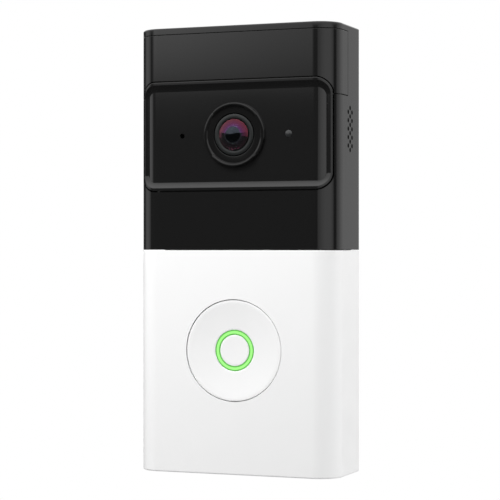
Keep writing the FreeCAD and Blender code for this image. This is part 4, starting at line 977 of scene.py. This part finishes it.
NODE_STOCK: dict[Stock, str] = {
    Stock.BLACK_NYLON: "wall_plate rear_housing battery_cradle lens_holder filter_frame port_tongue"
                       " board_connector switch_plunger speaker_mesh",
    Stock.GREY: "setup_button speaker",
    Stock.RUBBER: "port_cover mic_boot housing_seal",
    Stock.SILICONE: "return_pad",
    Stock.FOAM: "panel_seal speaker_gasket battery_pad",
    Stock.BOARD: "main_board camera_board ir_led_board button_board motion_sensor",
    Stock.CHIP: "image_sensor light_sensor setup_switch tact_switch",
    Stock.TIN: "shield_cans port_socket microphone",
    Stock.STEEL: "housing_screws main_board_screws ir_board_screws button_board_screws latch_rivets"
                 " terminal_screw_left terminal_screw_right",
    Stock.SPRING: "latch_spring",
    Stock.BRASS: "terminal_inserts terminal_plates",
    Stock.WRAP: "battery",
    Stock.LAMP: "ir_leds ring_leds",
    Stock.FILM: "antenna",
    Stock.CLEAR: "filter_glasses",
    Stock.PIPE: "light_pipe",
}
# Pieces that get meshes of their own, though nothing here bends them: the piece, the joint that presses it,
# the y in metres that stays, and the share that is left.
GIVING = (("return_pad", "button_press", -0.01705, 0.72), ("latch_spring", "lift_off", -0.0012, 0.68))


def finish_nodes() -> None:
    """Give every carried-over piece the finish of its stock, and give the pad and the latch meshes of their
    own.
    """
    for stock, names in NODE_STOCK.items():
        for name in names.split():
            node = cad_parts[name]
            for slot in node.material_slots:
                slot.material = stock.material()
    for name, joint, root, keep in GIVING:
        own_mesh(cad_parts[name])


# --- studio -----------------------------------------------------------------------------------


@dataclass
class Studio:
    """Floor, sky, lamps and camera."""

    floor_z: float = -0.6
    floor_reach: float = 1.5
    camera_at: Corner = (0.2076, -0.5372, 0.0)
    looking: Corner = (-0.3665, 0.9304, 0.0)
    lens: float = 128.1

    def camera(self) -> None:
        """A level camera to the right of the front, at the height of the seam."""
        data = bpy.data.cameras.new("view")
        data.lens = self.lens
        data.sensor_width = 36.0
        data.clip_start = 0.01
        camera = bpy.data.objects.new("view", data)
        camera.location = self.camera_at
        camera.rotation_euler = Vector(self.looking).to_track_quat("-Z", "Y").to_euler()
        bpy.context.scene.collection.objects.link(camera)
        bpy.context.scene.camera = camera

    def floor(self) -> None:
        """A plain pale floor well below the object."""
        mesh = bpy.data.meshes.new("floor")
        reach = self.floor_reach
        corners = ((-reach, -reach), (reach, -reach), (reach, reach), (-reach, reach))
        mesh.from_pydata([(*corner, self.floor_z) for corner in corners], [], [(0, 1, 2, 3)])
        floor = bpy.data.objects.new("floor", mesh)
        bpy.context.scene.collection.objects.link(floor)
        made = bpy.data.materials.new("pale_floor")
        made.use_nodes = True
        tree = made.node_tree
        tree.nodes.clear()
        rays = add(tree, "ShaderNodeLightPath")
        matt = add(tree, "ShaderNodeBsdfDiffuse", {"Color": (0.8, 0.8, 0.8, 1)})
        white = add(tree, "ShaderNodeEmission")
        mix = add(tree, "ShaderNodeMixShader", links={
            0: rays.outputs["Is Camera Ray"], 1: matt.outputs[0], 2: white.outputs[0],
        })
        add(tree, "ShaderNodeOutputMaterial", links={"Surface": mix.outputs[0]})
        mesh.materials.append(made)
        floor.visible_glossy = False

    def sky(self) -> None:
        """White behind the object; a tent of soft panels with dark gaps between for what is glossy."""
        world = bpy.data.worlds.new("studio")
        bpy.context.scene.world = world
        world.use_nodes = True
        tree = world.node_tree
        tree.nodes.clear()
        way = add(tree, "ShaderNodeTexCoord").outputs["Generated"]
        parts = add(tree, "ShaderNodeSeparateXYZ", links={0: way})
        ahead = maths(tree, "MULTIPLY", parts.outputs["Y"], -1.0)
        turn = maths(tree, "ARCTAN2", parts.outputs["X"], ahead)
        share = add(tree, "ShaderNodeMapRange", {"From Min": -math.pi, "From Max": math.pi},
                    {"Value": turn})
        ring = self.ramp(tree, share.outputs[0], AROUND, 360.0)
        card = self.ramp(tree, share.outputs[0], CARD, 360.0)
        rise = maths(tree, "ARCSINE", parts.outputs["Z"])
        tilt = add(tree, "ShaderNodeMapRange", {"From Min": -math.pi / 2, "From Max": math.pi / 2},
                   {"Value": rise})
        lifted = self.ramp(tree, tilt.outputs[0], CARD_RISE, 180.0)
        band = self.ramp(tree, tilt.outputs[0], RING_RISE, 180.0)
        above = self.ramp(tree, tilt.outputs[0], ABOVE, 180.0)
        low = maths(tree, "MULTIPLY", ring, band)
        side = maths(tree, "MULTIPLY", card, lifted)
        tent = maths(tree, "MAXIMUM", maths(tree, "MAXIMUM", low, side), above)
        strength = maths(tree, "MULTIPLY", tent, TENT_POWER)
        rays = add(tree, "ShaderNodeLightPath")
        soft = add(tree, "ShaderNodeBackground", {"Strength": 0.5, "Color": WHITE})
        panels = add(tree, "ShaderNodeBackground", {"Color": WHITE}, {"Strength": strength})
        white = add(tree, "ShaderNodeBackground", {"Color": WHITE})
        bent = maths(tree, "MAXIMUM", rays.outputs["Is Glossy Ray"], rays.outputs["Is Transmission Ray"])
        glossy = add(tree, "ShaderNodeMixShader", links={
            0: bent, 1: soft.outputs[0], 2: panels.outputs[0],
        })
        seen = add(tree, "ShaderNodeMixShader", links={
            0: rays.outputs["Is Camera Ray"], 1: glossy.outputs[0], 2: white.outputs[0],
        })
        add(tree, "ShaderNodeOutputWorld", links={"Surface": seen.outputs[0]})

    def ramp(self, tree: Tree, share: Socket, marks: Sequence[Point], span: float) -> Socket:
        """A brightness that changes with an angle.

        Args:
            tree: The world's tree.
            share: The angle as a share of its span, 0.5 in the middle.
            marks: Angles in degrees from the middle, each with its brightness.
            span: The degrees from one end to the other.
        """
        return colour_ramp(tree, share, [(angle / span + 0.5, (light,) * 3) for angle, light in marks])

    def lamp(self, name: str, at: Corner, size: float, power: float) -> None:
        """A square softbox that faces the object and stays out of its reflections."""
        data = bpy.data.lights.new(name, "AREA")
        data.energy = power
        data.size = size
        lamp = bpy.data.objects.new(name, data)
        lamp.location = at
        lamp.rotation_euler = (-Vector(at)).to_track_quat("-Z", "Y").to_euler()
        lamp.visible_glossy = False
        bpy.context.scene.collection.objects.link(lamp)

    def build(self) -> None:
        """Set the whole stage."""
        self.camera()
        self.floor()
        self.sky()
        self.lamp("key", (-0.14, -0.26, 0.33), 0.25, 2.2)
        self.lamp("side", (0.95, 0.22, 0.2), 0.6, 5.8)
        bpy.context.scene.view_settings.view_transform = "Standard"


# Brightness of the tent by compass angle: 0 is straight ahead of the front, positive to the right.
AROUND = (
    (-180, 0.2), (-150, 0.1), (-118, 0.0), (-104, 0.07), (-96, 0.27), (-80, 0.36), (-71, 0.31), (-64, 0.18),
    (-60, 0.01), (6, 0.0), (9.5, 0.2), (20, 0.28), (30, 0.37), (45, 0.44), (68, 0.44), (75, 0.38), (82, 0.28),
    (86.5, 0.2), (90, 0.0), (101, 0.0), (104, 0.15), (110, 0.28), (130, 0.38), (140, 0.37), (150, 0.3),
    (160, 0.23), (180, 0.2),
)
# The panel at the front left, which stops short of the horizon.
CARD = ((-180, 0.0), (-54, 0.0), (-47, 0.5), (-40, 1.0), (-24.5, 1.0), (-20.2, 0.6), (-18, 0.5), (-9, 0.0),
        (180, 0.0))
CARD_RISE = ((-90, 0.0), (2.6, 0.0), (3.7, 0.02), (4.35, 0.045), (5.15, 0.09), (5.35, 0.22), (5.5, 0.3),
             (6.1, 0.43), (7.0, 0.6), (10, 0.64), (40, 0.6), (90, 0.6))
# How far the ring of panels reaches above and below the horizon.
RING_RISE = ((-90, 0.03), (-4, 0.03), (-1, 1.0), (12, 1.0), (25, 0.5), (90, 0.4))
# The brightness overhead, by height above the horizon.
ABOVE = ((-90, 0.02), (7.6, 0.02), (9.4, 0.55), (45, 0.6), (68, 0.8), (90, 0.95))
TENT_POWER = 2.2


def main() -> None:
    """Build the doorbell's looks, piece by piece."""
    logging.basicConfig(level=logging.INFO, format="%(message)s")
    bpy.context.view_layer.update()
    Studio().build()
    case = Case()
    finish_nodes()
    Upper(case).build()
    Lens().build()
    Lower(case).build()
    Button().build()


if __name__ == "__main__":
    main()
